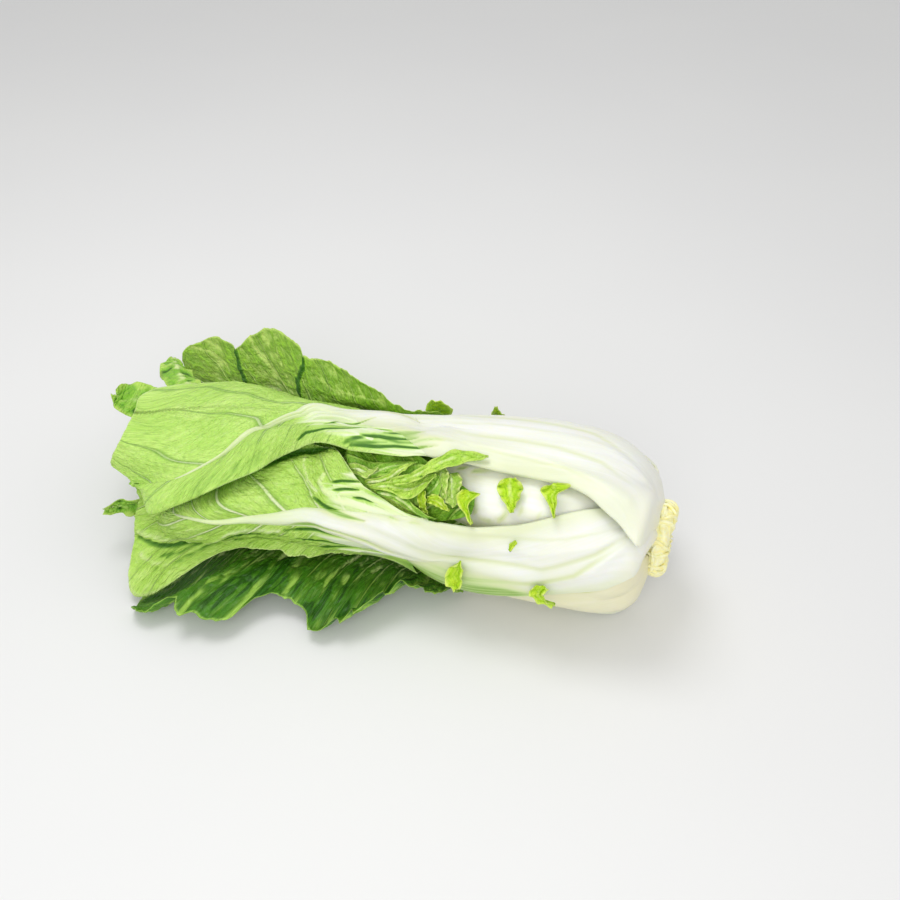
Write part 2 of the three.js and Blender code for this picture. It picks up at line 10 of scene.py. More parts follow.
import bpy
import numpy as np
from mathutils import Matrix, Vector


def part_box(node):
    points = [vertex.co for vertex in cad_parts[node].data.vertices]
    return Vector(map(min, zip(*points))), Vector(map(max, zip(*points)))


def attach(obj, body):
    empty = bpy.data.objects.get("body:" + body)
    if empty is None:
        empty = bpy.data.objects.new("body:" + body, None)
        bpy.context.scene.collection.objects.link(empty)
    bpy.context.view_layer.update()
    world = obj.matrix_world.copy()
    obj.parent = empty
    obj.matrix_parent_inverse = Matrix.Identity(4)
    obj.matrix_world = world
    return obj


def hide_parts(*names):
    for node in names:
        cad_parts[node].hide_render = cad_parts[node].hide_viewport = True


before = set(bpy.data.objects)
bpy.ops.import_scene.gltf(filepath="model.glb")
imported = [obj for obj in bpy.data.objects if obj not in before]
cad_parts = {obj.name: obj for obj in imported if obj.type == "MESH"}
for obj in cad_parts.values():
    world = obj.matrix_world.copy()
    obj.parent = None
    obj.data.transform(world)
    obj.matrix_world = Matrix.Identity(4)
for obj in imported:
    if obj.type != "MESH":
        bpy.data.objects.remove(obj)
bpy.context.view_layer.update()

MM = 0.001

# ---------------------------------------------------------------- small mathematics


def mix(a, b, t):
    return a + (b - a) * t


def ease(t):
    return t * t * (3 - 2 * t)


def smooth(start, end, x):
    return ease(np.clip((np.asarray(x, float) - start) / (end - start), 0, 1))


def soft_max(a, b, rounded=2.0):
    """The larger of two lengths, rounded over a millimetre or two where they meet."""
    return (a + b + np.hypot(a - b, rounded)) / 2


def through(*pairs):
    """A smooth curve through (place, value) pairs, level beyond both ends."""
    xs = np.array([p[0] for p in pairs], float)
    ys = np.array([p[1] for p in pairs], float)
    if len(xs) == 1:
        return lambda x: np.full(np.shape(x), ys[0])
    before = np.maximum(np.arange(len(xs)) - 1, 0)
    after = np.minimum(np.arange(len(xs)) + 1, len(xs) - 1)
    slopes = (ys[after] - ys[before]) / (xs[after] - xs[before])

    def curve(x):
        x = np.clip(x, xs[0], xs[-1])
        i = np.clip(np.searchsorted(xs, x) - 1, 0, len(xs) - 2)
        width = xs[i + 1] - xs[i]
        t = (x - xs[i]) / width
        leave = slopes[i] * width * t * (1 - t) ** 2
        arrive = slopes[i + 1] * width * t * t * (1 - t)
        return mix(ys[i], ys[i + 1], ease(t)) + leave - arrive

    return curve


LOW_BITS = 0xFFFFFFFF


def hashed(ix, iy, seed):
    """A fixed number from 0 to 1 for each whole-number place."""
    n = (ix.astype(np.int64) * 374761393 + iy.astype(np.int64) * 668265263 + seed * 974634777) & LOW_BITS
    n = ((n ^ (n >> 13)) * 1274126177) & LOW_BITS
    return ((n ^ (n >> 16)) & 0xFFFF) / 65535.0


def humps(x, y, seed):
    """Smooth noise from -1 to 1, its humps about one unit long."""
    x, y = np.broadcast_arrays(np.asarray(x, float), np.asarray(y, float))
    fx, fy = np.floor(x), np.floor(y)
    tx, ty = ease(x - fx), ease(y - fy)
    low = mix(hashed(fx, fy, seed), hashed(fx + 1, fy, seed), tx)
    high = mix(hashed(fx, fy + 1, seed), hashed(fx + 1, fy + 1, seed), tx)
    return 2 * mix(low, high, ty) - 1


def pillows(x, y, seed):
    """Cells about one unit wide: 0 along their borders, rising to about 1 in their middles."""
    x, y = np.broadcast_arrays(np.asarray(x, float), np.asarray(y, float))
    fx, fy = np.floor(x), np.floor(y)
    nearest = np.full(x.shape, 9.0)
    second = np.full(x.shape, 9.0)
    for dx in (-1, 0, 1):
        for dy in (-1, 0, 1):
            cx, cy = fx + dx, fy + dy
            px = cx + 0.15 + 0.7 * hashed(cx, cy, seed)
            py = cy + 0.15 + 0.7 * hashed(cx, cy, seed + 17)
            away = np.hypot(x - px, y - py)
            second = np.minimum(second, np.maximum(away, nearest))
            nearest = np.minimum(nearest, away)
    return np.clip((second - nearest) * 1.4, 0, 1)


# ---------------------------------------------------------------- the head as a whole

# Radius of the outermost leaves' inner face against s: shoulder, bulb, waist and spread leaves.
HEAD_RADIUS = through(
    (0, 20), (4, 28), (11, 38), (23, 48), (42, 55), (70, 57.5), (105, 56), (148, 51), (190, 46), (226, 45),
    (268, 50), (316, 58), (370, 61),
)
# The head lies down, so its axis drops towards the leaves, which spread sideways and flatten.
AXIS_HEIGHT = through((0, 56), (60, 57), (150, 52), (225, 46), (310, 42), (370, 38))
SIDE_SPREAD = through((0, 1), (200, 1), (290, 1.1), (370, 1.18))
RISE_ABOVE = through((0, 0.96), (200, 0.94), (290, 0.84), (370, 0.74))
# How far from the axis the lowest layer reaches, which is brought down to the floor.
REACH_BELOW = through(
    (0, 60), (16, 67), (48, 73.4), (96, 73.6), (128, 72.4), (160, 69), (200, 63), (225, 64), (256, 69),
    (288, 77), (320, 78), (370, 70),
)
FLOOR_ROUND = 0.6  # how softly a surface bends where it meets the floor
FLOOR_SINK = 0.5  # the head is set this much lower, so that what touches is pressed flat

CLEAR = 1.5  # least space between one leaf and the next
SEAM = 0.6  # between a stalk and its blade
# Next to the collar the leaves stand side by side, and only from there on does one lie over another.
CROWDED = (1, 11)  # where along the head that begins, and where it is so in full
FREE = 6  # how far under a leaf's own radius the others count as lying before that
OPEN_BY = 0.45  # share of the blade's length at which it has opened out
WIDEST_OPEN = 1.2  # the angle, in radians, past which an opened blade gets no further out

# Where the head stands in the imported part: its collar gives the way from the head's own place.
COLLAR_HIGH_X = 9.0
collar_low, collar_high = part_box("root_collar")
OFFSET = np.array([
    collar_high.x / MM - COLLAR_HIGH_X,
    (collar_low.y + collar_high.y) / 2 / MM,
    0.0,
])


def rise_at(s, phi):
    """How far up or down in space a millimetre of rho goes, above the axis and below it."""
    return np.where(np.cos(phi) > 0, RISE_ABOVE(s), AXIS_HEIGHT(s) / REACH_BELOW(s))


def reach_of(s, phi):
    """How much rho it takes to move a surface outwards by one millimetre in space."""
    return np.hypot(np.sin(phi) / SIDE_SPREAD(s), np.cos(phi) / rise_at(s, phi))


def to_space(s, phi, rho, thick):
    """The head's coordinates to space, in millimetres. Where a leaf faces down, its thickness, thick,
    stays above the floor."""
    under = thick * smooth(0, 1, 1 / 3 - np.cos(phi) * 5 / 3)
    height = AXIS_HEIGHT(s) + rho * np.cos(phi) * rise_at(s, phi) - under
    rested = (height + np.hypot(height, 2 * FLOOR_ROUND)) / 2
    return np.stack([-s, -rho * np.sin(phi) * SIDE_SPREAD(s), rested + under - FLOOR_SINK], axis=-1)


# ---------------------------------------------------------------- the layers

ROWS, COLUMNS = 220, 180  # along the head and round it
ROW_MM = 2.0
FIRST_ROW = -20.0  # the first row's place along the head, in millimetres


class Layers:
    """How far out the leaves laid so far reach, on a grid of s and phi."""

    def __init__(self, reach=None):
        self.reach = np.zeros((ROWS, COLUMNS)) if reach is None else reach

    def raise_to(self, s, phi, rho):
        row = np.clip(np.rint((s - FIRST_ROW) / ROW_MM).astype(int), 0, ROWS - 1)
        column = np.rint(phi / (2 * np.pi) * COLUMNS).astype(int) % COLUMNS
        np.maximum.at(self.reach, (row, column), rho)

    def at(self, s, phi):
        row = (s - FIRST_ROW) / ROW_MM
        column = phi / (2 * np.pi) * COLUMNS
        r, c = np.floor(row).astype(int), np.floor(column).astype(int)

        def cell(i, j):
            return self.reach[np.clip(i, 0, ROWS - 1), j % COLUMNS]

        near = mix(cell(r, c), cell(r, c + 1), column - c)
        far = mix(cell(r + 1, c), cell(r + 1, c + 1), column - c)
        return mix(near, far, row - r)

    def softened(self, cells=6, passes=12):
        """The same reach, widened by some cells and then smoothed."""
        grid = self.reach
        for _ in range(cells):
            padded = np.pad(grid, ((1, 1), (0, 0)), mode="edge")
            grid = np.maximum(np.maximum(padded[:-2], padded[2:]), grid)
        for _ in range(cells):
            grid = np.maximum(np.maximum(np.roll(grid, 1, 1), np.roll(grid, -1, 1)), grid)
        for _ in range(passes):
            padded = np.pad(grid, ((1, 1), (0, 0)), mode="edge")
            grid = (padded[:-2] + padded[2:] + grid) / 3
            grid = (np.roll(grid, 1, 1) + np.roll(grid, -1, 1) + grid) / 3
        return Layers(grid)


# ---------------------------------------------------------------- one leaf

# Half the stalk's width against the share of the leaf's length, and what a base that clasps has more.
STALK_HALF = through(
    (0, 9.5), (0.02, 17), (0.045, 26), (0.09, 34), (0.14, 37), (0.2, 39), (0.29, 38), (0.39, 34), (0.5, 26),
    (0.58, 16), (0.66, 7.5), (0.76, 4.6), (0.88, 2.8), (1, 1.8),
)
CLASP_HALF = through((0, 0), (0.02, 3), (0.05, 13), (0.09, 23), (0.14, 13), (0.2, 2), (0.29, 0))
STALK_THICK = through(
    (0, 4.5), (0.04, 6.5), (0.1, 8.5), (0.25, 9), (0.4, 8), (0.52, 6.6), (0.64, 5), (0.76, 3.8), (0.9, 2.6),
    (1, 2),
)
STALK_EDGE = 2.0  # thickness at the stalk's thin sides
GROWN_EDGE = 0.9  # the same where the blade grows out of them
THIN_EDGE = 0.6  # the same as the largest share of the thickness in the middle
GROOVE_DEPTH = 0.35  # depth of the green grooves at the neck, as a share of the thickness
LEAST_LEFT = 0.4  # the share of its thickness that a stalk keeps under every groove and fold
STALK_CROWN = 0.8  # how the stalk's back is rounded: the lower, the flatter
MIDRIB_END = 0.9  # share of the leaf's length where the midrib dies out
MIDRIB_LAST = 0.7  # the midrib's thickness there
BLADE_THICK = 1.2
MARGIN_THICK = 0.7
BLADE_SUNK = 0.25  # how far the blade lies inside the stalk's inner face

# How wide one side of the blade is beyond the stalk's edge, against the share of the blade's length.
SHAPES = {
    "spoon": through(
        (0, 0.07), (0.12, 0.16), (0.28, 0.4), (0.42, 0.7), (0.58, 0.95), (0.74, 1), (0.87, 0.78),
        (0.95, 0.42), (1, 0.12),
    ),
    "broad": through(
        (0, 0.08), (0.1, 0.28), (0.25, 0.6), (0.4, 0.85), (0.6, 1), (0.78, 0.95), (0.9, 0.72), (0.97, 0.4),
        (1, 0.15),
    ),
}
# How far forward the rows run for each millimetre they run outwards, against the share of its length.
SWEEP = through(
    (0, 0.1), (0.2, 0.42), (0.34, 0.45), (0.5, 0.4), (0.6, 0.33), (0.7, 0.27), (0.77, 0.56), (0.835, 0.76),
    (1, 0.7),
)
SWEEP = through((0, 0.1), (0.15, 0.4), (0.5, 0.4), (0.8, 0.28), (1, 0.25))

# Rows and columns of faces: along the stalk, across it, along the blade and across one side of it.
GRIDS = {
    "heart": dict(stalk_rows=50, stalk_columns=16, rows=44, side=12),
    "inner": dict(stalk_rows=90, stalk_columns=22, rows=72, side=22),
    "outer": dict(stalk_rows=170, stalk_columns=56, rows=130, side=44),
    "shown": dict(stalk_rows=180, stalk_columns=64, rows=180, side=58),
}
MIDDLE_COLUMNS = 4  # of the blade, hidden in the stalk
EDGE_CROWDING = 0.9  # how much closer together columns lie towards the stalk's edges, from 0 to 1
BASE_CROWDING = 1.5  # rows lie closer together towards the collar, where the stalk curves most
RAY_RADIUS = 58.0  # at which the ways of veins and folds over a leaf are measured
RAY_STEP = 3.0  # millimetres along the midrib from one traced vein to the next
NECK_RIB = 0.9  # height of the white ribs of a blade's foot
CAVITY_CELLS = 10  # how far a place's surroundings reach, in cells of the grid
CAVITY_SHADING = 0.6  # painted highlight and shade: lighter per millimetre above the surroundings, darker below
SHADE_HALO, SHADE_HALO_WIDTH = 0.36, 3.2  # how much painted shade spreads round a dark fold, and how much wider than the fold
DARKEST, WHITEST = -1.3, 1.0  # limits of the folds' painted shade, and of their white ribs and painted highlights
VEIN_SPREAD = 0.09  # how much the gap between side veins grows with each millimetre along the midrib
VEIN_FROM = 40.0  # how far before the blade's foot it starts to grow
VEIN_WANDER = 3.5  # how far a side vein strays from its way
FRONT_AHEAD = 0.37  # how far the front side's veins are ahead of the back's, as a share of the gap
VEIN_HALF = through((0, 2.2), (0.3, 1.5), (0.8, 0.8), (1, 0.6))

PLAIN = dict(
    clasp=0, front=0, back=0, shape=("spoon", "spoon"), flat=0, tilt=0, flare=0, waves=3, run=60, rib=0.5,
    pucker=0.9, crumple=(0, 0), jagged=0.0, roll=(0, 0), tone="young", crowded=CROWDED, foot=None, knobs=(),
    margins=(None, None), rays=None, gap=14.0, neck=((), ()), folds=(),
)
HEART = dict(PLAIN, kind="heart", waves=2)
INNER = dict(PLAIN, kind="inner", clasp=0.2, flat=0.2, pucker=1.1)
OUTER = dict(PLAIN, kind="outer", tone="light")
SHOWN = dict(OUTER, kind="shown")

# Leaves from the heart outwards. The fields are
# - path: the angle of the midrib, in degrees, against s, from start to tip
# - blade_from, blade_to: where the blade begins and ends, the tip if it isn't given; stalk_from: where the
#   stalk begins, start if it isn't given
# - size: scales the stalk's width and thickness; inset: its distance from the axis
# - clasp: how far the base of the stalk clasps the head
# - front, back: the widths of the blade towards +phi and -phi, and shape: their outlines, back first,
#   each only where margins doesn't give that side
# - flat: opens the blade out from round, 0, to flat, 1; tilt: turns it about its midrib, in degrees
# - flare: lifts the tip away from the axis; ruffle: the height of the margin's waves; waves: their number
# - run: how far forward the side veins run within 50 mm; rib: their height
# - pucker: how high the blade bulges between them; crumple: the height of the folds towards each margin,
#   back first; jagged: the share by which the margins wander in and out
# - roll: the height of a rolled margin, back first; tone: the blade's green
# - foot: half the stalk's width against s, where it isn't the usual; crowded: where the leaf starts
#   to lie over the others; knobs: bumps on the stalk, as (s, phi, length, width, height)
# - margins: the blade's margins, back first, as (place along the midrib, s, phi)
# - rays: the back's side veins as (along, way in degrees), 0 along the head and 90 towards +phi
# - gap: millimetres between the side veins; neck: how far along the white ribs of the blade's foot reach,
#   back first, as (phi, s)
# - folds: ribs, folds and hollows, as (places, (half width at each end), height, lightness); the
#   lightness is painted: a white rib with painted highlight above 0, painted shade below
LEAVES = [
    dict(HEART, name="heart_1", path=[(0, 250)], start=20, tip=128, size=0.3, inset=0.2, blade_from=80,
         front=16, back=16, ruffle=2),
    dict(HEART, name="heart_2", path=[(0, 40)], start=19, tip=150, size=0.36, inset=0.27, blade_from=92,
         front=19, back=19, ruffle=2),
    dict(HEART, name="heart_3", path=[(0, 190)], start=18, tip=190, size=0.46, inset=0.42, blade_from=105,
         front=26, back=26, ruffle=3),
    dict(HEART, name="heart_4", path=[(0, 315)], start=18, tip=206, size=0.5, inset=0.47, blade_from=112,
         front=29, back=27, ruffle=3),
    dict(HEART, name="heart_5", path=[(0, 75)], start=17, tip=222, size=0.52, inset=0.5, blade_from=118,
         front=29, back=29, ruffle=4),
    dict(INNER, name="inner_under", path=[(0, 168)], start=12, tip=276, size=0.68, inset=0.73,
         blade_from=138, front=38, back=38, flat=0.1, ruffle=3),
    dict(INNER, name="inner_back", path=[(0, 232)], start=12, tip=290, size=0.7, inset=0.76, blade_from=146,
         front=40, back=40, flare=6, ruffle=4),
    dict(INNER, name="inner_front", path=[(0, 106)], start=11, tip=282, size=0.7, inset=0.76,
         blade_from=140, front=40, back=40, flare=2, ruffle=4),
    dict(INNER, name="inner_top", path=[(0, 40)], start=10, tip=248, size=0.8, inset=0.87, clasp=0.3,
         blade_from=106, front=34, back=34, flare=2, ruffle=5,
         knobs=[(102, 53, 13, 9, 3.6), (75, 46, 14, 10, 3.8), (47, 36, 15, 11, 3.6)],
         folds=[
             ([(112, 43), (114, 50), (109, 57), (100, 59), (92, 56), (90, 48), (92, 42)], (0.9, 0.9), -0.8,
              -0.35),
             ([(84, 37), (85, 44), (80, 50), (72, 51), (65, 46)], (0.9, 0.8), -0.6, -0.25),
         ]),
    dict(INNER, name="frill", path=[(0, 50)], start=104, stalk_from=122, tip=214, size=0.1, inset=0.9,
         clasp=0, blade_from=112, front=24, back=26, shape=("broad", "broad"), flat=0.3, flare=2, ruffle=6,
         waves=4, crumple=(3, 3), tone="frill", foot=[(104, 0.4), (116, 0.8), (134, 1.6), (160, 3)]),
    dict(INNER, name="inner_rear", path=[(0, -66), (150, -66), (280, -76)], start=11, tip=296, size=0.72,
         inset=0.8, blade_from=138, front=40, back=40, flare=4, ruffle=3),
    dict(OUTER, name="low_front", start=1, tip=336, size=0.92, inset=0.98, clasp=0.1, blade_from=150,
         front=50, back=54, flat=0.3, flare=4, ruffle=4, pucker=1.6, crumple=(5, 5), tone="low",
         crowded=(-1, 7),
         path=[(0, 118), (30, 122), (60, 129), (150, 137), (280, 130)],
         foot=[(1, 14), (4, 26), (8, 38), (14, 44), (24, 46), (40, 42), (60, 38), (90, 35)],
         folds=[
             # a sunken fold in painted shadow under the front leaf's lower edge
             ([(6, 56), (14, 73), (24, 82), (34, 90), (46, 95.5), (64, 104), (84, 113), (110, 121)],
              (0.9, 1.6), -1.2, -0.9),
             ([(14, 92), (40, 112), (80, 126), (120, 130)], (6, 8), 1.2, 0.0),
             ([(290, 104), (262, 112), (240, 120), (214, 122), (190, 118)], (6, 7), -1.0, -0.9),
             ([(262, 112), (250, 122), (240, 130), (222, 142)], (1.6, 1.6), 1.6, 0.8),
             ([(240, 112), (232, 122), (222, 132), (206, 144)], (1.6, 1.6), 1.6, 0.8),
             ([(214, 112), (206, 124), (196, 136)], (1.6, 1.6), 1.6, 0.8),
             ([(190, 110), (184, 120), (178, 132)], (1.4, 1.4), 1.2, 0.6),
         ]),
    dict(SHOWN, name="front", crowded=(-1, 7), start=0.4, tip=366, blade_to=352, size=0.9, inset=1,
         blade_from=145, flat=0.8, tilt=20, ruffle=3, run=78, rib=1.0, pucker=1.2, gap=13, crumple=(0, 3.0),
         path=[(0, 44), (8, 46), (24, 55), (34, 61), (46, 67), (64, 75.5), (84, 83), (110, 89), (134, 88),
               (152, 83), (168, 79), (183, 76), (199, 74), (216, 74), (238, 76), (272, 78), (300, 76),
               (322, 77), (352, 80)],
         foot=[(0, 4), (4, 8), (8, 12), (14, 15.5), (24, 19.5), (34, 22.5), (46, 23.5), (64, 24), (84, 25),
               (110, 26), (125, 25), (140, 22), (155, 17.5), (168, 13.5), (183, 9.5), (199, 7.2),
               (216, 5.8), (245, 3.8), (280, 2.4), (366, 1)],
         neck=([(20, 188), (35, 198), (45, 208), (50, 216), (60, 216), (75, 218)],
               [(78, 238), (95, 214), (115, 190), (140, 172)]),
         margins=([(145, 140, 63), (152, 150, 62.5), (160, 161, 60), (175, 177, 54), (188, 189, 48.5),
                   (199, 199, 40), (209, 207, 33), (220, 218, 26), (235, 244, 20), (250, 266, 23),
                   (265, 277, 27), (280, 283, 33), (295, 295, 39), (310, 310, 44), (325, 327, 44),
                   (337, 343, 47), (345, 355, 55), (352, 360, 66)],
                  [(145, 148, 120), (160, 164, 113), (189, 197, 111), (219, 233, 110), (234, 249, 106),
                   (248, 264, 108), (263, 281, 112), (278, 300, 117), (292, 318, 121), (307, 334, 121),
                   (322, 344, 117), (337, 349, 106), (352, 354, 92)]),
         rays=[(145, -50), (213, -46), (225, -34), (249, -24), (300, -20), (352, -20)],
         folds=[
             ([(142, 71), (101, 71), (63, 69), (28, 57), (10, 46)], (3.5, 3), 1.0, 0.0),
             ([(10, 48), (30, 63), (60, 78), (110, 84), (150, 79)], (1.2, 1.6), -0.6, -0.16),
             ([(14, 54), (40, 76), (64, 88), (110, 98), (152, 94)], (1.2, 1.8), -0.6, -0.2),
             ([(20, 47), (50, 58), (90, 64), (140, 68)], (1.0, 1.2), -0.4, -0.12),
             ([(134, 86), (99, 88), (60, 86), (30, 72), (12, 52)], (4, 3), 1.2, 0.0),
             ([(60, 99), (88, 104), (108, 108), (134, 110), (165, 106)], (3, 9), -0.4, -1.0),
             ([(169, 67), (188, 63), (203, 60), (214, 55), (219, 50), (217, 45)], (2.6, 1.5), 1.6, 1.0),
             ([(154, 66), (170, 60), (188, 54.5), (202, 56)], (2.4, 1.0), 1.0, 0.8),
             ([(188, 49), (198, 50), (209, 52)], (1.0, 0.8), 0.6, 0.8),
             ([(237, 32), (238, 38), (230, 50), (220, 56)], (0.8, 1.1), 0.5, 0.9),
             ([(210, 49), (204, 47.5), (192, 46.5)], (0.9, 0.6), -1.0, -1.25),
             ([(208, 54), (200, 52.5), (191, 52)], (0.9, 0.5), -0.8, -1.2),
             ([(193, 57), (186, 57), (177, 59)], (0.8, 0.5), -0.6, -1.1),
             ([(221, 61), (210, 65), (199, 67), (182, 69)], (1.3, 0.5), -1.0, -1.2),
             ([(196, 62), (178, 64), (158, 66), (144, 66)], (1.4, 0.5), -0.4, -0.55),
             ([(186, 52), (172, 55), (158, 58)], (1.2, 0.5), -0.4, -0.5),
             # a sunken hollow in painted shadow under the top leaf's lip
             ([(266, 44), (256, 37), (245, 30), (226, 25), (212, 27)], (3.0, 3.5), -2.5, -1.1),
             ([(240, 84), (216, 82), (197, 81.5), (183, 84)], (1.2, 0.5), -0.8, -1.1),
             ([(232, 92), (210, 91), (190, 94)], (1.2, 0.8), -0.6, -1.0),
             ([(346, 101), (320, 101), (297, 99), (276, 86), (243, 84)], (2.4, 2.4), 2.0, 0.3),
             ([(346, 105), (320, 105), (297, 103), (276, 91), (243, 89)], (1.3, 1.3), -0.8, -0.8),
             ([(335, 112), (305, 110), (280, 101), (255, 98), (228, 97)], (4, 4), 0, -0.5),
             ([(338, 110), (318, 113), (300, 108), (278, 100)], (1.4, 1.2), 1.2, 0.5),
             ([(212, 106), (202, 101), (188, 101)], (1.2, 1.0), 1.0, 0.5),
             ([(222, 102), (206, 98), (188, 96)], (1.6, 1.2), -1.0, -0.8),
         ]),
    dict(OUTER, name="under", path=[(0, 194), (110, 188), (200, 156), (290, 142)], start=1.5, tip=330,
         size=0.94, inset=1, clasp=0.3, blade_from=130, front=46, back=76, shape=("broad", "spoon"), flat=1,
         tilt=-26, flare=14, ruffle=6, pucker=2.2, crumple=(9, 7), jagged=0.12, gap=9, tone="deep",
         folds=[
             ([(292, 104), (284, 114), (262, 124), (236, 130)], (2.2, 3.0), 1.6, 0.1),
             ([(262, 104), (252, 118), (248, 128), (234, 140)], (2.0, 1.4), 1.8, 0.25),
             ([(240, 103), (236, 114), (222, 122), (198, 126)], (1.6, 2.6), 1.6, 0.1),
             ([(214, 102), (208, 114), (210, 124), (198, 136)], (1.8, 1.2), 1.6, 0.25),
             ([(186, 103), (184, 112), (172, 122)], (1.4, 1.8), 1.2, 0.1),
             ([(276, 104), (268, 116), (244, 122)], (3.0, 4.0), -1.6, -0.5),
             ([(252, 103), (243, 116), (240, 130), (226, 138)], (2.8, 2.4), -1.6, -0.5),
             ([(228, 102), (221, 112), (204, 118)], (3.0, 3.4), -1.4, -0.5),
             ([(202, 102), (197, 114), (194, 128)], (2.4, 2.4), -1.4, -0.5),
         ]),
    dict(SHOWN, name="top", start=0, tip=378, size=1, inset=1, clasp=0.95, tone="top", blade_from=150,
         flat=0.05, flare=2, ruffle=2, waves=2, rib=0.3, pucker=0.9, roll=(0, 3.6), blade_to=357,
         crowded=(-1, 7),
         path=[(0, -20), (35, -16), (100, -13), (150, -18), (225, -25), (246, -20), (262, -8), (278, 15),
               (295, 39), (314, 54), (335, 61), (351, 64), (374, 66)],
         foot=[(0, 14), (3, 25), (7, 35), (12, 42), (20, 47), (32, 49), (45, 46), (60, 43), (90, 40),
               (120, 38), (137, 38), (150, 37), (162, 33), (178, 26.5), (200, 19), (226, 11), (245, 6),
               (265, 3.6), (290, 2.4), (330, 1.6), (378, 1)],
         neck=([(-70, 190), (-30, 225)],
               [(-15, 262), (5, 256), (15, 240), (24, 212), (30, 190)]),
         margins=([(150, 147, -63), (170, 168, -66), (190, 191, -68), (210, 214, -66), (230, 241, -63),
                   (250, 281, -52), (262, 308, -44), (273, 329, -36), (285, 347, -21), (296, 363, -13),
                   (303, 377, -4), (310, 382, 6), (318, 378, 15), (326, 376, 25), (336, 376, 38),
                   (346, 377, 48), (353, 375, 55), (357, 364, 58)],
                  [(150, 149, 24.5), (160, 158, 25.5), (170, 167, 27.5), (190, 183, 28.5), (210, 201, 29.5),
                   (225, 217, 27), (237, 232, 26.5), (250, 244, 31), (262, 256, 39), (273, 266, 48),
                   (285, 280, 55), (296, 295, 62), (305, 310, 68), (315, 329, 75), (325, 339, 73),
                   (335, 346, 69), (345, 352, 66), (357, 358, 63)]),
         rays=[(150, -25), (230, -10), (255, 14), (268, 6), (289, -12), (300, -8), (325, -14), (357, -25)],
         folds=[
             ([(170, -20), (112, -7), (71, -6), (38, -4), (16, 5)], (4, 3), 1.0, 0.0),
             ([(158, 15), (117, 14), (76, 17), (42, 24), (18, 32)], (4, 3), 1.2, 0.0),
             ([(165, 3), (110, 5), (70, 6), (40, 10), (20, 20)], (1.8, 1.4), -0.6, -0.16),
             ([(165, -27), (100, -18), (50, -16), (20, -5)], (1.8, 1.4), -0.5, -0.16),
             ([(150, 13), (100, 17), (60, 20), (30, 30)], (1.2, 1.0), -0.4, -0.14),
             ([(160, -10), (110, -8), (60, -5)], (1.0, 0.9), -0.4, -0.12),
             ([(244, 24), (240, 19), (226, 16.5), (210, 15), (198, 13)], (1.4, 0.4), -0.9, -1.2),
             ([(231, 9), (224, 2), (212, -5), (200, -8)], (1.0, 0.4), -0.6, -1.0),
             ([(206, 24), (198, 21), (186, 18), (172, 17), (160, 15)], (1.8, 0.4), -0.8, -1.05),
             ([(202, 27), (187, 25), (174, 22.5), (158, 21), (146, 19)], (1.1, 0.4), -0.8, -1.2),
             ([(184, 14), (171, 12), (158, 10)], (1.2, 0.7), -0.5, -0.9),
             ([(236, 13), (216, 11.5), (196, 11), (174, 8)], (2.0, 0.6), -0.4, -0.4),
             ([(216, 27), (198, 25), (180, 21)], (1.8, 0.6), -0.3, -0.35),
             ([(190, 17.5), (172, 19.5), (150, 16), (138, 15)], (1.5, 0.5), -0.3, -0.4),
             ([(222, 21), (208, 20), (190, 21)], (1.1, 0.8), 0.6, 0.8),
             ([(222, 9), (205, 8), (180, 7)], (1.3, 1.0), 0.5, 0.7),
             ([(248, 23), (266, 38), (280, 50), (300, 60), (330, 68)], (7, 10), 0, -0.35),
         ]),
    dict(OUTER, name="rear", start=0.8, tip=392, size=0.96, inset=0.98, clasp=0.2, blade_from=165, back=50,
         shape=("broad", "spoon"), flat=1, tilt=12, flare=2, ruffle=1.4, pucker=1.8, crumple=(2, 1.2),
         jagged=0.02, tone="mid",
         path=[(0, 253), (50, 254), (110, 260), (150, 264), (300, 270)],
         margins=(None,
                  [(165, 168, 309), (185, 190, 312), (205, 215, 311), (225, 236, 311.5), (245, 258, 312),
                   (262, 275, 311), (272, 285, 310), (282, 294, 313), (300, 314, 315), (315, 328, 313.5),
                   (328, 342, 310), (338, 351, 305.5), (348, 360, 306.5), (360, 374, 306),
                   (372, 386, 303.5), (382, 396, 301), (388, 402, 297), (392, 403, 290)]),
         folds=[
             ([(326, 309), (320, 298), (312, 284)], (11, 9), 4.0, 0.25),
             ([(378, 304), (370, 292)], (9, 8), 3.0, 0.2),
             ([(270, 309), (256, 306), (236, 307), (214, 308)], (6, 5), 3.0, 0.15),
             ([(354, 310), (351, 300), (345, 290), (336, 276)], (1.3, 2.4), -2.0, -0.9),
             ([(288, 313), (287, 306), (292, 298), (288, 286)], (1.2, 2.6), -2.0, -0.9),
             ([(340, 311), (330, 303), (314, 294), (296, 287)], (0.9, 0.7), 0.5, 0.7),
             ([(316, 313), (310, 303), (300, 293)], (0.7, 0.6), 0.4, 0.6),
             ([(394, 300), (378, 298), (358, 290)], (0.7, 0.6), 0.4, 0.6),
             ([(274, 303), (255, 300), (232, 303), (206, 307)], (0.8, 0.6), 0.4, 0.6),
         ]),
]


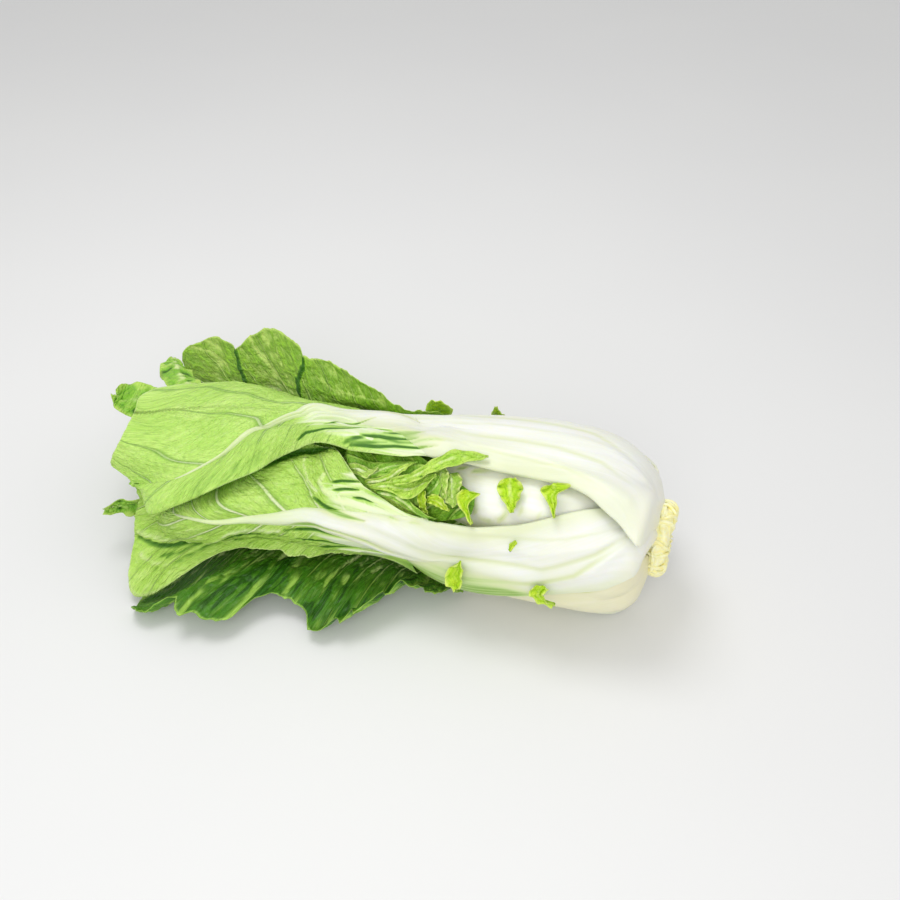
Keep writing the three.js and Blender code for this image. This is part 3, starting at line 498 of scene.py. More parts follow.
class Leaf:
    """One leaf's numbers, and where each place on it lies in the head's coordinates."""

    def __init__(self, facts, under):
        self.__dict__.update(facts)
        self.turn = through(*self.path)
        self.under = under
        self.length = self.tip - self.blade_from
        self.blade_to = facts.get("blade_to", self.tip)
        self.stalk_from = facts.get("stalk_from", self.start)
        self.seed = int(sum(ord(letter) * (i + 3) for i, letter in enumerate(self.name)))

    def radius_at(self, s):
        beyond = np.clip((s - self.blade_from) / self.length, 0, 1.2)
        return self.inset * HEAD_RADIUS(s - self.start) + self.flare * beyond * beyond

    def turn_at(self, s):
        return np.radians(self.turn(s))

    def share(self, s):
        return (s - self.start) / (self.tip - self.start)

    def stalk_half(self, s):
        share = self.share(s)
        half = self.size * (STALK_HALF(share) + self.clasp * CLASP_HALF(share))
        if self.foot:
            foot_end = self.foot[-1][0]
            half = mix(through(*self.foot)(s), half, smooth(foot_end - 30, foot_end, s))
        return half * mix(1, 0.25, smooth(0.66, MIDRIB_END, share))

    def stalk_thick(self, s, v):
        """The stalk's thickness at v, from -1 to 1 across it. It thins out along the midrib."""
        share = self.share(s)
        middle = math.sqrt(self.size) * STALK_THICK(share)
        grown = smooth(self.blade_from - 14, self.blade_from + 10, s)
        edge = np.minimum(mix(STALK_EDGE, GROWN_EDGE, grown), THIN_EDGE * middle)
        thick = edge + (middle - edge) * np.clip(1 - v * v, 0, 1) ** STALK_CROWN
        return mix(thick, MIDRIB_LAST, smooth(MIDRIB_END - 0.16, MIDRIB_END, share))

    def lean(self, along):
        """How far round the midrib runs for each millimetre along, and the length of that step."""
        lean = self.radius_at(along) * (self.turn_at(along + 1) - self.turn_at(along - 1)) / 2
        return lean, np.hypot(1, lean)

    def beside(self, along, across, forward=0.0):
        """A place across millimetres beside the midrib at along, and forward of there."""
        lean, slope = self.lean(along)
        s = along + (forward - lean * across) / slope
        arc = (across + lean * forward) / slope
        radius = self.radius_at(s)
        flat = self.flatness(s)
        tilt = math.radians(self.tilt)
        opened = np.arctan(math.tan(tilt) + arc / (radius * math.cos(tilt))) - tilt
        return s, self.turn_at(along) + mix(arc / radius, opened, flat)

    def flatness(self, s):
        """How far the leaf has opened out from round, 0, to flat, 1."""
        return self.flat * smooth(self.blade_from - 10, mix(self.blade_from, self.tip, OPEN_BY), s)

    def lying(self, along, s, phi, lift=0.0, bulge=0.0):
        """How far out the leaf's inner face lies at s and phi, on the row that leaves the midrib at along.
        lift is what the waves add to the leaf's own radius, and bulge what always shows."""
        tilt = math.radians(self.tilt)
        wide = np.clip(phi - self.turn_at(along) + tilt, -WIDEST_OPEN, WIDEST_OPEN)
        own = self.radius_at(s) * mix(1, math.cos(tilt) / np.cos(wide), self.flatness(s)) + lift
        least = self.under.at(s, phi) + CLEAR * reach_of(s, phi)
        crowded = smooth(*self.crowded, s)
        return soft_max(own, mix(own - FREE, least, crowded)) + bulge * crowded

    def steep(self, s, phi):
        """How much rho a millimetre of the leaf's thickness takes."""
        rise = (self.radius_at(s + 1) - self.radius_at(s - 1)) / 2
        return np.hypot(1, rise) * reach_of(s, phi)


FACE_STEP = 0.03  # how far to each side in b a face's slope is read


def face(at, a, b, thick, low, high):
    """Places on the inner face in space for a and b, with the way the outer face looks and the same places
    in the head's coordinates."""
    def space(x, y):
        s, phi, rho = at(x, y)
        return to_space(s, phi, rho, thick)

    along = space(a + 1, b) - space(a - 1, b)
    across = space(a, np.minimum(b + FACE_STEP, high)) - space(a, np.maximum(b - FACE_STEP, low))
    normal = np.cross(along, across)
    normal /= np.maximum(np.linalg.norm(normal, axis=-1, keepdims=True), 1e-9)
    s, phi, rho = at(a, b)
    return to_space(s, phi, rho, thick), normal, (s, phi, rho)


# ---------------------------------------------------------------- meshes


def closed_sheet(name, inner, outer, attributes):
    """A sheet with both faces and a rounded rim, from grids of places in millimetres. attributes gives
    each named vector for the grid, with the face, 0 inside and 1 outside, as its last number."""
    rows, columns = inner.shape[:2]
    count = rows * columns
    index = np.arange(count).reshape(rows, columns)
    a, b, c, d = index[:-1, :-1], index[:-1, 1:], index[1:, 1:], index[1:, :-1]
    outside = np.stack([a, d, c, b], -1).reshape(-1, 4)
    inside = np.stack([a, b, c, d], -1).reshape(-1, 4) + count
    edge = np.concatenate([index[0, :-1], index[:-1, -1], index[-1, :0:-1], index[:0:-1, 0]])
    rim_count = len(edge)
    flat_outer, flat_inner = outer.reshape(-1, 3), inner.reshape(-1, 3)
    # The rim's middle stands out by part of the thickness, away from the sheet.
    inward = np.concatenate([
        (outer[1, :-1] - outer[0, :-1]), (outer[:-1, -2] - outer[:-1, -1]),
        (outer[-2, :0:-1] - outer[-1, :0:-1]), (outer[:0:-1, 1] - outer[:0:-1, 0]),
    ])
    inward /= np.maximum(np.linalg.norm(inward, axis=1, keepdims=True), 1e-6)
    across = flat_outer[edge] - flat_inner[edge]
    thick = np.linalg.norm(across, axis=1, keepdims=True)
    middle = (flat_outer[edge] + flat_inner[edge]) / 2 - inward * thick * 0.3
    ring = np.arange(rim_count)
    after = np.roll(ring, -1)
    mid = 2 * count + ring
    mid_after = 2 * count + after
    upper = np.stack([edge, edge[after], mid_after, mid], -1)
    lower = np.stack([mid, mid_after, edge[after] + count, edge + count], -1)
    points = np.concatenate([flat_outer, flat_inner, middle])
    faces = np.concatenate([outside, inside, upper, lower])
    face_of = np.concatenate([np.ones(count), np.zeros(count), np.full(rim_count, 0.5)])
    values = {}
    for key, grid in attributes.items():
        flat = grid.reshape(-1, grid.shape[-1])
        stacked = np.concatenate([flat, flat, flat[edge]])
        values[key] = np.concatenate([stacked, face_of[:, None]], 1)
    return new_piece(name, points, faces.tolist(), values)


def new_piece(name, points, faces, values=None):
    """A smooth-shaded piece from points in millimetres, kept above the floor. values gives each named
    vector for the points."""
    placed = (points + OFFSET) * MM
    placed[:, 2] = np.maximum(placed[:, 2], 0.0)
    mesh = bpy.data.meshes.new(name)
    mesh.from_pydata(placed.tolist(), [], faces)
    mesh.validate()
    mesh.polygons.foreach_set("use_smooth", np.ones(len(mesh.polygons), bool))
    for key, vectors in (values or {}).items():
        attribute = mesh.attributes.new(key, "FLOAT_VECTOR", "POINT")
        attribute.data.foreach_set("vector", vectors.astype(np.float32).ravel())
    piece = bpy.data.objects.new(name, mesh)
    bpy.context.scene.collection.objects.link(piece)
    return piece


def finish_piece(piece, material, slot, *nodes):
    piece.data.materials.append(material)
    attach(piece, "root")
    if nodes:
        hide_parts(*nodes)


# ---------------------------------------------------------------- stalks and blades

laid = Layers()


def fold_marks(leaf, s, phi):
    """How high a leaf's own ribs, folds and hollows stand at each place, and their painted light: 1 is a
    white rib with painted highlight, -1 a hollow in painted shade and DARKEST its deepest painted shade."""
    height, light = np.zeros(s.shape), np.zeros(s.shape)
    for places, widths, rise, painted_lightness in leaf.folds:
        nearest = np.full(s.shape, 1e6)
        width = np.full(s.shape, float(widths[0]))
        along = np.zeros(s.shape)
        count = len(places) - 1
        for i in range(count):
            (s0, phi0), (s1, phi1) = places[i], places[i + 1]
            step = np.array([s1 - s0, math.radians(phi1 - phi0) * RAY_RADIUS])
            off_s, off_arc = s - s0, (phi - math.radians(phi0)) * RAY_RADIUS
            t = np.clip((off_s * step[0] + off_arc * step[1]) / (step @ step), 0, 1)
            away = np.hypot(off_s - t * step[0], off_arc - t * step[1])
            width = np.where(away < nearest, mix(widths[0], widths[1], (i + t) / count), width)
            along = np.where(away < nearest, (i + t) / count, along)
            nearest = np.minimum(nearest, away)
        near = np.exp(-(nearest / width) ** 2)
        height += rise * near
        # A dark fold's painted shade fades towards its ends and spreads thinner round it.
        if painted_lightness < 0:
            fading = mix(0.3, 1, smooth(0, 0.25, along) * smooth(1, 0.7, along))
            near = (near + SHADE_HALO * np.exp(-(nearest / width / SHADE_HALO_WIDTH) ** 2)) * fading
        light += painted_lightness * near
    return height, np.clip(light, DARKEST, WHITEST)


def stalk_grid(leaf):
    """A stalk's inner and outer face, and the vectors that its finish needs."""
    grid = GRIDS[leaf.kind]
    t = np.linspace(0, 1, grid["stalk_rows"] + 1)
    end = mix(leaf.start, leaf.tip, MIDRIB_END)
    along = leaf.stalk_from + (end - leaf.stalk_from) * mix(t ** BASE_CROWDING, t, 0.4)
    v = np.linspace(-1, 1, grid["stalk_columns"] + 1)
    v = np.sin(v * np.pi / 2 * EDGE_CROWDING) / math.sin(np.pi / 2 * EDGE_CROWDING)
    along, v = np.meshgrid(along, v, indexing="ij")
    thick = leaf.stalk_thick(along, v)

    def at(a, b):
        place_s, place_phi = leaf.beside(a, b * leaf.stalk_half(a))
        return place_s, place_phi, leaf.lying(a, place_s, place_phi)

    inner, normal, (s, phi, rho) = face(at, along, v, thick, -1, 1)
    across = v * leaf.stalk_half(along)
    groove = stalk_grooves(leaf, along, v, across)
    back = thick + stalk_ribs(leaf, along, v, across) - GROOVE_DEPTH * thick * groove
    marks, light = fold_marks(leaf, s, phi)
    # Dark folds add painted shade to the stalk by deepening the tint of its grooves.
    groove = np.clip(groove - light, 0, 1)
    back = np.maximum(back + marks, LEAST_LEFT * thick)
    for knob_s, knob_phi, length, width, height in leaf.knobs:
        off_s, off_arc = (s - knob_s) / length, (phi - math.radians(knob_phi)) * rho / width
        back = back + height * np.clip(1 - off_s ** 2 - off_arc ** 2, 0, 1) ** 0.7
    outer = inner + normal * back[..., None]
    laid.raise_to(s, phi, rho + back * leaf.steep(s, phi))
    share = leaf.share(along)
    return inner, outer, dict(
        grain=np.stack([along, across], -1),
        tone=np.stack([v, share], -1),
        relief=np.stack([groove, np.zeros(v.shape)], -1),
    )


def stalk_grooves(leaf, along, v, across):
    """How deep the green grooves between the white ribs are at the neck, from 0 to 1."""
    share = leaf.share(along)
    neck = smooth(0.38, 0.5, share) * (1 - smooth(0.66, 0.76, share))
    aside = smooth(0.12, 0.5, np.abs(v)) * smooth(1.0, 0.92, np.abs(v))
    wander = humps(along / 40, 0, leaf.seed)
    lines = humps(across / (3.4 * leaf.size) + 0.4 * wander, along / 55, leaf.seed + 2)
    return neck * aside * smooth(0.05, 0.6, lines)


def stalk_ribs(leaf, along, v, across):
    """Fine lengthwise ribs on the stalk's back, stronger towards the neck."""
    share = leaf.share(along)
    strength = 0.32 + 0.35 * smooth(0.25, 0.5, share) * (1 - smooth(0.6, 0.7, share))
    width = mix(6.5, 3.2, smooth(0.15, 0.5, share)) * max(leaf.size, 0.5)
    wander = humps(along / 60, across / 9, leaf.seed)
    lines = humps(across / width + wander * 0.5, along / 170, leaf.seed + 5)
    edge = smooth(1, 0.8, np.abs(v))
    return strength * lines * edge * math.sqrt(leaf.size)


def vein_gap(leaf, forward):
    """Millimetres from one side vein to the next, where they leave the midrib."""
    return leaf.gap + VEIN_SPREAD * np.maximum(forward + VEIN_FROM, 0)


def vein_count(leaf, forward):
    """The side veins counted from the stalk forwards."""
    beyond = np.log1p(VEIN_SPREAD * np.maximum(forward + VEIN_FROM, 0) / leaf.gap) / VEIN_SPREAD
    return np.where(forward < -VEIN_FROM, (forward + VEIN_FROM) / leaf.gap, beyond)


def blade_spot(leaf, a, b):
    """What a place on the blade is: a along the midrib, and b from -2 at the back margin over the midrib,
    -1 to 1, to 2 at the front margin."""
    u = np.clip((a - leaf.blade_from) / leaf.length, 0, 1)
    front = b > 0
    out = np.clip(np.abs(b) - 1, 0, 1)
    wide = np.where(front, leaf.front * SHAPES[leaf.shape[1]](u), leaf.back * SHAPES[leaf.shape[0]](u))
    wide = wide * (1 + leaf.jagged * humps(u * 12, 5 * front, leaf.seed + 31) * smooth(0, 0.2, u))
    forward = out * wide * SWEEP(u)
    ended = smooth(MIDRIB_END - 0.02, MIDRIB_END + 0.04, leaf.share(a))
    edge = (leaf.stalk_half(a) + SEAM * 0.5) * (1 - ended) + 0.4 * ended
    edge = np.maximum(edge - mix(1.6, 0.0, smooth(0, 0.3, out)), 0.3)
    across = np.clip(b, -1, 1) * edge + np.where(front, 1, -1) * out * wide
    s, phi = leaf.beside(a, across, forward)
    near_s, near_phi = leaf.beside(a, np.clip(b, -1, 1) * edge)
    for side, margin in zip((~front, front), leaf.margins):
        if margin:
            far_s = through(*[(place, far) for place, far, _ in margin])(a)
            far_phi = np.radians(through(*[(place, far) for place, _, far in margin])(a))
            s = np.where(side, mix(near_s, far_s, out), s)
            phi = np.where(side, mix(near_phi, far_phi, out), phi)
    return u, front, out, s, phi


def vein_origins(leaf, a, s, phi, front):
    """How far along the midrib, from the blade's foot, the side vein through each place has left it, and
    how far the place is from the midrib."""
    lean, slope = leaf.lean(a)
    arc = (phi - leaf.turn_at(a)) * leaf.radius_at(s)
    forward = (s - a + lean * arc) / slope
    aside = np.abs((arc - lean * (s - a)) / slope)
    origin = a + forward - leaf.run * (aside / 50) ** 0.8
    if leaf.rays:
        start = np.arange(leaf.blade_from - 20.0, leaf.blade_to + 1, RAY_STEP)
        way = np.radians(through(*leaf.rays)(start))
        round_mm = leaf.turn_at(start) * RAY_RADIUS
        past = (np.cos(way) * (phi[..., None] * RAY_RADIUS - round_mm)
                - np.sin(way) * (s[..., None] - start))
        first = np.argmax(past <= 0, axis=-1)
        after = np.take_along_axis(past, first[..., None], -1)[..., 0]
        before = np.take_along_axis(past, np.maximum(first - 1, 0)[..., None], -1)[..., 0]
        part = np.clip(before / np.maximum(before - after, 1e-6), 0, 1)
        traced = np.where(first > 0, start[first] - RAY_STEP * (1 - part), start[0] + past[..., 0])
        traced = np.where(past[..., -1] > 0, start[-1] + past[..., -1], traced)
        origin = np.where(front, origin, traced)
    return origin - leaf.blade_from, aside


def blurred(grid):
    """A grid's values, each averaged with those around it."""
    for _ in range(CAVITY_CELLS):
        padded = np.pad(grid, 1, mode="edge")
        grid = (padded[:-2, 1:-1] + padded[2:, 1:-1] + padded[1:-1, :-2] + padded[1:-1, 2:] + grid) / 5
    return grid


def side_veins(leaf, along, s, phi, front, out):
    """The side veins at each place: where they left the midrib, how far beyond the stalk's edge it lies,
    the count of veins, the gap between them, the way to the nearest, and how much of a ridge that makes."""
    origin, beside = vein_origins(leaf, along, s, phi, front)
    origin = origin + VEIN_WANDER * humps(origin / 30, beside / 14 + 20 * front, leaf.seed)
    beyond = np.maximum(beside - leaf.stalk_half(along), 0)
    vein = vein_count(leaf, origin) + np.where(front, FRONT_AHEAD, 0)
    gap = vein_gap(leaf, origin) * 0.6
    to_vein = np.abs(vein + 0.5 - np.floor(vein + 0.5) - 0.5) * gap
    half = VEIN_HALF(out)
    ridge = (1 - smooth(0, half, to_vein)) * (half / 2.2) ** 0.7
    return origin, beyond, vein, gap, to_vein, ridge


def white_foot(leaf, s, phi, front):
    """How white each place is, from the foot of the blade on, and how far up that white it lies."""
    white, risen = np.zeros(s.shape), np.ones(s.shape)
    for side, reaches in zip((~front, front), leaf.neck):
        if reaches:
            end = through(*reaches)(np.degrees(phi))
            white = np.where(side, smooth(end + 10, end - 16, s), white)
            risen = np.where(side, np.clip((s - leaf.blade_from) / (end - leaf.blade_from), 0, 1), risen)
    return white, risen


def puffed(leaf, front, vein, beyond, to_vein):
    """How far a blade bulges in each place between its veins, in broad pillows and small ones."""
    broad = pillows(vein * 1.9, beyond / 9 + 40 * front, leaf.seed + 3)
    small = pillows(vein * 4.3 + 9, beyond / 4.2 + 30 * front, leaf.seed + 7)
    return (0.65 * ease(broad) + 0.45 * ease(small)) * mix(0.5, 1, smooth(0.3, 3, to_vein))


def crumpled(leaf, out, vein, beyond):
    """How far a blade is crumpled, more and more towards its margin."""
    creases = 1 - np.abs(humps(vein * 1.5, beyond / 15, leaf.seed + 11))
    creases += 0.5 * (1 - np.abs(humps(vein * 3.7, beyond / 7, leaf.seed + 12)))
    scallops = 0.5 + 0.5 * np.sin(2 * np.pi * (0.8 * vein + 0.5 * humps(vein / 2, out * 2, leaf.seed + 13)))
    return 0.8 * out ** 0.8 * creases ** 2 / 2.25 + 0.5 * out ** 2 * scallops


def blade_grid(leaf):
    """A blade's inner and outer face, and the vectors that its finish needs."""
    grid = GRIDS[leaf.kind]
    rows, side = grid["rows"], grid["side"]
    along = np.linspace(leaf.blade_from, leaf.blade_to, rows + 1)
    lamina = np.linspace(0, 1, side + 1) ** 0.92
    middle = np.linspace(-1, 1, MIDDLE_COLUMNS + 1)[1:-1]
    b = np.concatenate([-1 - lamina[::-1], middle, 1 + lamina])
    along, b = np.meshgrid(along, b, indexing="ij")
    u, front, out, s, phi = blade_spot(leaf, along, b)
    origin, beyond, vein, gap, to_vein, ridge = side_veins(leaf, along, s, phi, front, out)
    white, risen = white_foot(leaf, s, phi, front)
    green = 1 - white
    shown = smooth(0.02, 0.15, out) * smooth(0, 0.06, u)
    bulge = leaf.pucker * shown * green * puffed(leaf, front, vein, beyond, to_vein)
    bulge += np.where(front, leaf.crumple[1], leaf.crumple[0]) * green * crumpled(leaf, out, vein, beyond)
    arc = (phi - leaf.turn_at(along)) * leaf.radius_at(s)
    ribs = humps(arc / 2.8 + 0.5 * humps(s / 30, 0, leaf.seed), s / 60, leaf.seed + 21)
    opening = mix(-0.5, 0.3, risen)
    bulge += NECK_RIB * white * smooth(opening - 0.3, opening + 0.5, ribs)
    marks, light = fold_marks(leaf, s, phi)
    bulge += marks
    roll = np.where(front, leaf.roll[1], leaf.roll[0]) * smooth(0.1, 0.3, u)
    bulge += roll * np.sqrt(np.clip(1 - ((out - 0.55) / 0.45) ** 2, 0, 1)) * smooth(0, 0.5, out)
    # Painted highlight where the blade stands above its surroundings, painted shade where it lies below.
    light = np.clip(light + CAVITY_SHADING * (bulge - blurred(bulge)), DARKEST, WHITEST)
    whitened = white * mix(0.5, 1, smooth(opening - 0.25, opening + 0.45, ribs))

    def at(x, y):
        x_share, in_front, outwards, place_s, place_phi = blade_spot(leaf, x, y)
        phase = float(leaf.turn(0)) * 0.11 + np.where(in_front, 1.7, 0.0)
        wave = np.sin(2 * np.pi * leaf.waves * x_share + phase) * smooth(0, 0.2, x_share)
        lift = leaf.ruffle * outwards * outwards * wave
        return place_s, place_phi, leaf.lying(x, place_s, place_phi, lift, bulge)

    inner, normal, (s, phi, rho) = face(at, along, b, BLADE_THICK, -2, 2)
    inner = inner + normal * BLADE_SUNK
    thick = mix(BLADE_THICK, MARGIN_THICK, smooth(0.3, 1, out)) - BLADE_SUNK
    thick = thick + leaf.rib * ridge * shown * green
    outer = inner + normal * thick[..., None]
    laid.raise_to(s, phi, rho + BLADE_THICK * leaf.steep(s, phi))
    return inner, outer, dict(
        lie=np.stack([origin, beyond + 100.0 * front], -1),
        grain=np.stack([s, arc], -1),
        tone=np.stack([out, u], -1),
        rib=np.stack([vein, gap], -1),
        relief=np.stack([light, whitened], -1),
    )


# ---------------------------------------------------------------- lobes

# How a small green lobe or a ruffled leaflet is formed. raised is how far its tip stands off what it lies
# on, cupped how far its sides do, ruffle the height of the waves along its sides and waves their number,
# folded the height of a ridge along its middle, crumple that of the dents all over it and rib how light
# its midrib is.
LOBE_PLAIN = dict(raised=3, cupped=2, ruffle=1.2, folded=0.5, waves=3, crumple=0.7, rib=0.15)
CLUMP_PLAIN = dict(raised=1.4, cupped=0.5, ruffle=0.9, folded=0.8, waves=4, crumple=0.6, rib=0.4)
CURL_PLAIN = dict(LOBE_PLAIN, cupped=3, ruffle=1.8, folded=0, waves=3.4, crumple=1.5)

# Each is given by its two sides, from foot to tip as (s, phi in degrees), and by what isn't plain in it.
LOBES = [
    ([(120, 42), (122, 46), (120, 50), (114, 55), (109, 59)],
     [(113, 42), (108, 43), (113, 48), (112, 53), (108, 58)], dict(cupped=3)),
    ([(96, 31), (100, 36), (96, 42), (91, 46), (87, 50)],
     [(89, 30), (83, 34), (83, 40), (84, 45), (84, 49)], dict(folded=2.4, ruffle=1.8, waves=4)),
    ([(68, 31), (72, 34), (67, 39), (62, 44), (59, 48)],
     [(62, 29), (53, 30), (60, 35), (59, 41), (58, 47)], dict(folded=1.4)),
    ([(114, 82), (120, 86), (122, 92), (120, 97), (115, 101)],
     [(112, 81), (110, 84), (110, 89), (110, 95), (113, 100)], dict(cupped=3, raised=2)),
    ([(64, 85), (66, 90), (63, 94), (58, 98), (51, 101)],
     [(55, 84), (54, 85), (57, 89), (54, 94), (49, 99)], dict(folded=1.2, raised=2)),
    ([(132, -64), (131, -58), (129, -52), (127, -47)],
     [(120, -64), (121, -58), (123, -52), (125, -47)], dict(raised=6, cupped=1, ruffle=0.4, crumple=0.3)),
    ([(178, -66), (180, -59), (178, -52), (173, -46)],
     [(162, -66), (160, -59), (162, -52), (167, -46)], dict(raised=7, cupped=1, ruffle=0.4, crumple=0.3)),
]
FLAKE = ([(83, 69), (83, 66), (80, 63)], [(82, 70), (80, 67), (78, 64)],
         dict(raised=1, cupped=0.6, ruffle=0.2, folded=0))
LONG_LEAFLET = ([(170, 42), (155, 36), (144, 28), (130, 20), (110, 20)],
                [(166, 46), (152, 42), (141, 36), (127, 29), (110, 22)],
                dict(raised=1, cupped=0.8, folded=1.4, waves=5))
# The clump of young leaflets between the stalks of the top and front leaves, from the lowest up.
CLUMP = [
    ([(206, 30), (185, 32), (161, 30), (143, 31), (130, 35)],
     [(199, 48), (176, 54), (158, 56), (140, 55), (126, 45)], dict(tone="deep", raised=0.6, ruffle=0.8)),
    ([(182, 49), (176, 50), (167, 51), (160, 54), (152, 59)],
     [(182, 53), (174, 56), (166, 60), (159, 64), (152, 64)], dict(tone="young", raised=1.5)),
    ([(136, 36), (135, 41), (133, 46), (130, 50), (124, 53)],
     [(128, 31), (123, 36), (122, 40), (122, 44), (122, 51)], dict(tone="mid", raised=1.5, ruffle=1.4)),
    ([(136, 49), (141, 44), (143, 39), (142, 34), (137, 30)],
     [(129, 49), (130, 44), (131, 38), (132, 34), (135, 31)], dict(tone="mid", raised=1.5, ruffle=1.2)),
    ([(148, 48), (145, 44), (142, 40), (140, 38), (138, 36)],
     [(144, 51), (139, 50), (135, 48), (134, 43), (137, 38)], dict(tone="deep", raised=1, ruffle=0.8)),
    ([(142, 49), (138, 47), (132, 48), (129, 51), (126, 54)],
     [(142, 53), (138, 53), (134, 54), (130, 55), (126, 55)], dict(tone="bright", raised=1.6, ruffle=1.2)),
    ([(150, 46), (150, 50), (148, 55), (146, 58), (142, 60)],
     [(144, 46), (142, 50), (142, 54), (141, 57), (140, 60)], dict(tone="bright", raised=1.6, ruffle=1.2)),
    ([(180, 50), (166, 50), (156, 53), (146, 57), (134, 62)],
     [(178, 54), (168, 55), (158, 58), (149, 63), (135, 63)], dict(tone="deep", raised=1.6, folded=1.8)),
    ([(191, 44), (186, 37), (178, 32), (168, 29), (156, 29)],
     [(190, 45), (180, 42), (172, 38), (164, 34), (157, 30)], dict(tone="deep", raised=1.4, folded=1.4)),
    ([(189, 45), (179, 42), (172, 38), (166, 33), (158, 30)],
     [(188, 48), (178, 47), (171, 44), (165, 38), (159, 32)], dict(tone="young", raised=1.8, folded=1.0)),
    ([(185, 48), (172, 44), (158, 42), (148, 38), (139, 36)],
     [(183, 50), (170, 50), (158, 53), (148, 49), (139, 38)], dict(tone="young", raised=1.6, folded=0.8)),
    ([(203, 36), (198, 35), (192, 36), (186, 38), (181, 36)],
     [(201, 42), (196, 42), (188, 44), (184, 41), (181, 38)], dict(tone="mid", raised=1.2)),
]
# Curled ends of lower leaves past the tips of the top and front leaves, which stand free at rho.
CURLS = [
    ([(340, -2), (362, -8), (382, -20), (398, -36), (402, -50)],
     [(330, -14), (350, -26), (368, -40), (382, -50), (396, -53)], dict(rho=(50, 64), cupped=-3, folded=2)),
    ([(340, -10), (362, -12), (384, -11), (399, -5), (402, 4)],
     [(340, 16), (360, 18), (380, 19), (394, 17), (401, 10)], dict(rho=(44, 60))),
    ([(308, 80), (330, 80), (352, 80), (370, 83), (379, 90)],
     [(308, 106), (330, 108), (352, 109), (369, 103), (379, 96)], dict(rho=(44, 58))),
]
LOBE_CLEAR = 0.4  # least space under a lobe
LOBE_THICK, LOBE_EDGE = 0.9, 0.5  # in the middle and at the sides
LOBE_SPREAD = 6.0  # half the width over which a lobe's grain is drawn
LOBE_CAVITY_SHADING = 0.9  # painted highlight and shade: lighter per millimetre above a lobe's surroundings, darker below
PACKED = 0.6  # how far each leaflet of the clump keeps the next one off, as a share of its own height
LOBE_ROWS, LOBE_COLUMNS = 36, 24
CLUMP_SEED, CURL_SEED, FLAKE_SEED, LONG_SEED = 20, 40, 3, 9  # which of the small waves each gets
CLUMP_UNDER = "low_front"  # the first leaf that is laid after the clump's place is taken
HELD_FADE = 7  # degrees within which a leaflet is pressed down by the margins that lie over it
# What lies over the clump: the margins of the top and front leaves, as phi against s.
CLUMP_HELD = (
    through((100, 12), (130, 20), (150, 25), (166, 29), (183, 31), (201, 32)),
    through((100, 72), (130, 66), (147, 64), (163, 61), (179, 55), (193, 47), (206, 36)),
)


def formed(plain, left, right, changes):
    return dict(plain, left=left, right=right, **changes)


def side_curves(side):
    """One side of a lobe as s and phi against the share of its length."""
    t = np.linspace(0, 1, len(side))
    return through(*zip(t, [s for s, _ in side])), through(*zip(t, [phi for _, phi in side]))


def lobe_grid(lobe, under, seed, held=None):
    """Where a lobe lies, and its sheet. It lies on the layers under it, or free at its rho, and between
    the two margins that held gives."""
    left_s, left_phi = side_curves(lobe["left"])
    right_s, right_phi = side_curves(lobe["right"])
    foot, tip = [np.mean([lobe["left"][end], lobe["right"][end]], axis=0) for end in (0, -1)]
    length = math.hypot(tip[0] - foot[0], math.radians(tip[1] - foot[1]) * RAY_RADIUS)
    flip = 1

    def at(along, v):
        t = np.clip(along / length, 0, 1)
        part = (flip * v + 1) / 2
        s = mix(left_s(t), right_s(t), part)
        phi = np.radians(mix(left_phi(t), right_phi(t), part))
        wave = np.sin(2 * np.pi * lobe["waves"] * t + 2.3 * np.sign(v) + seed)
        lift = lobe["raised"] * t * t + lobe["cupped"] * v * v + lobe["ruffle"] * (1 + wave) * v * v
        lift += lobe["folded"] * np.exp(-(v / 0.3) ** 2) * smooth(1, 0.6, t)
        dents = 1 - np.abs(humps(along / 6 + v, v * 1.6 - along / 15, seed)) * 1.6
        lift += lobe["crumple"] * (0.6 + dents + 0.4 * humps(along / 2.6, v * 3.5, seed))
        if held:
            from_top, from_front = np.degrees(phi) - held[0](s), held[1](s) - np.degrees(phi)
            lift = lift * smooth(0, HELD_FADE, from_top) * smooth(0, HELD_FADE, from_front)
        base = under.at(s, phi) if under else mix(lobe["rho"][0], lobe["rho"][1], t)
        return s, phi, base + LOBE_CLEAR + lift

    along, v = np.meshgrid(np.linspace(0, length, LOBE_ROWS + 1), np.linspace(-1, 1, LOBE_COLUMNS + 1),
                           indexing="ij")
    inner, normal, (s, phi, rho) = face(at, along, v, LOBE_THICK, -1, 1)
    out = np.stack([np.zeros(s.shape), -np.sin(phi), np.cos(phi)], -1)
    if np.sum(normal * out) < 0:
        flip = -1
        inner, normal, (s, phi, rho) = face(at, along, v, LOBE_THICK, -1, 1)
    outer = inner + normal * mix(LOBE_THICK, LOBE_EDGE, v * v)[..., None]
    t = along / length
    standing = rho - under.at(s, phi) if under else rho
    # The pale midrib, with painted highlight where the lobe stands above its surroundings and painted shade
    # below.
    light = lobe["rib"] * np.exp(-(v / 0.08) ** 2) + LOBE_CAVITY_SHADING * (standing - blurred(standing))
    light = np.clip(light, -1, 1)
    grain = np.stack([along, v * LOBE_SPREAD], -1)
    return (s, phi, rho), (inner, outer, dict(
        lie=grain,
        grain=grain,
        tone=np.stack([np.abs(v), t], -1),
        rib=np.stack([np.full(v.shape, 0.5), np.full(v.shape, 9.0)], -1),
        relief=np.stack([light, np.zeros(v.shape)], -1),
    ))


# ---------------------------------------------------------------- the root collar

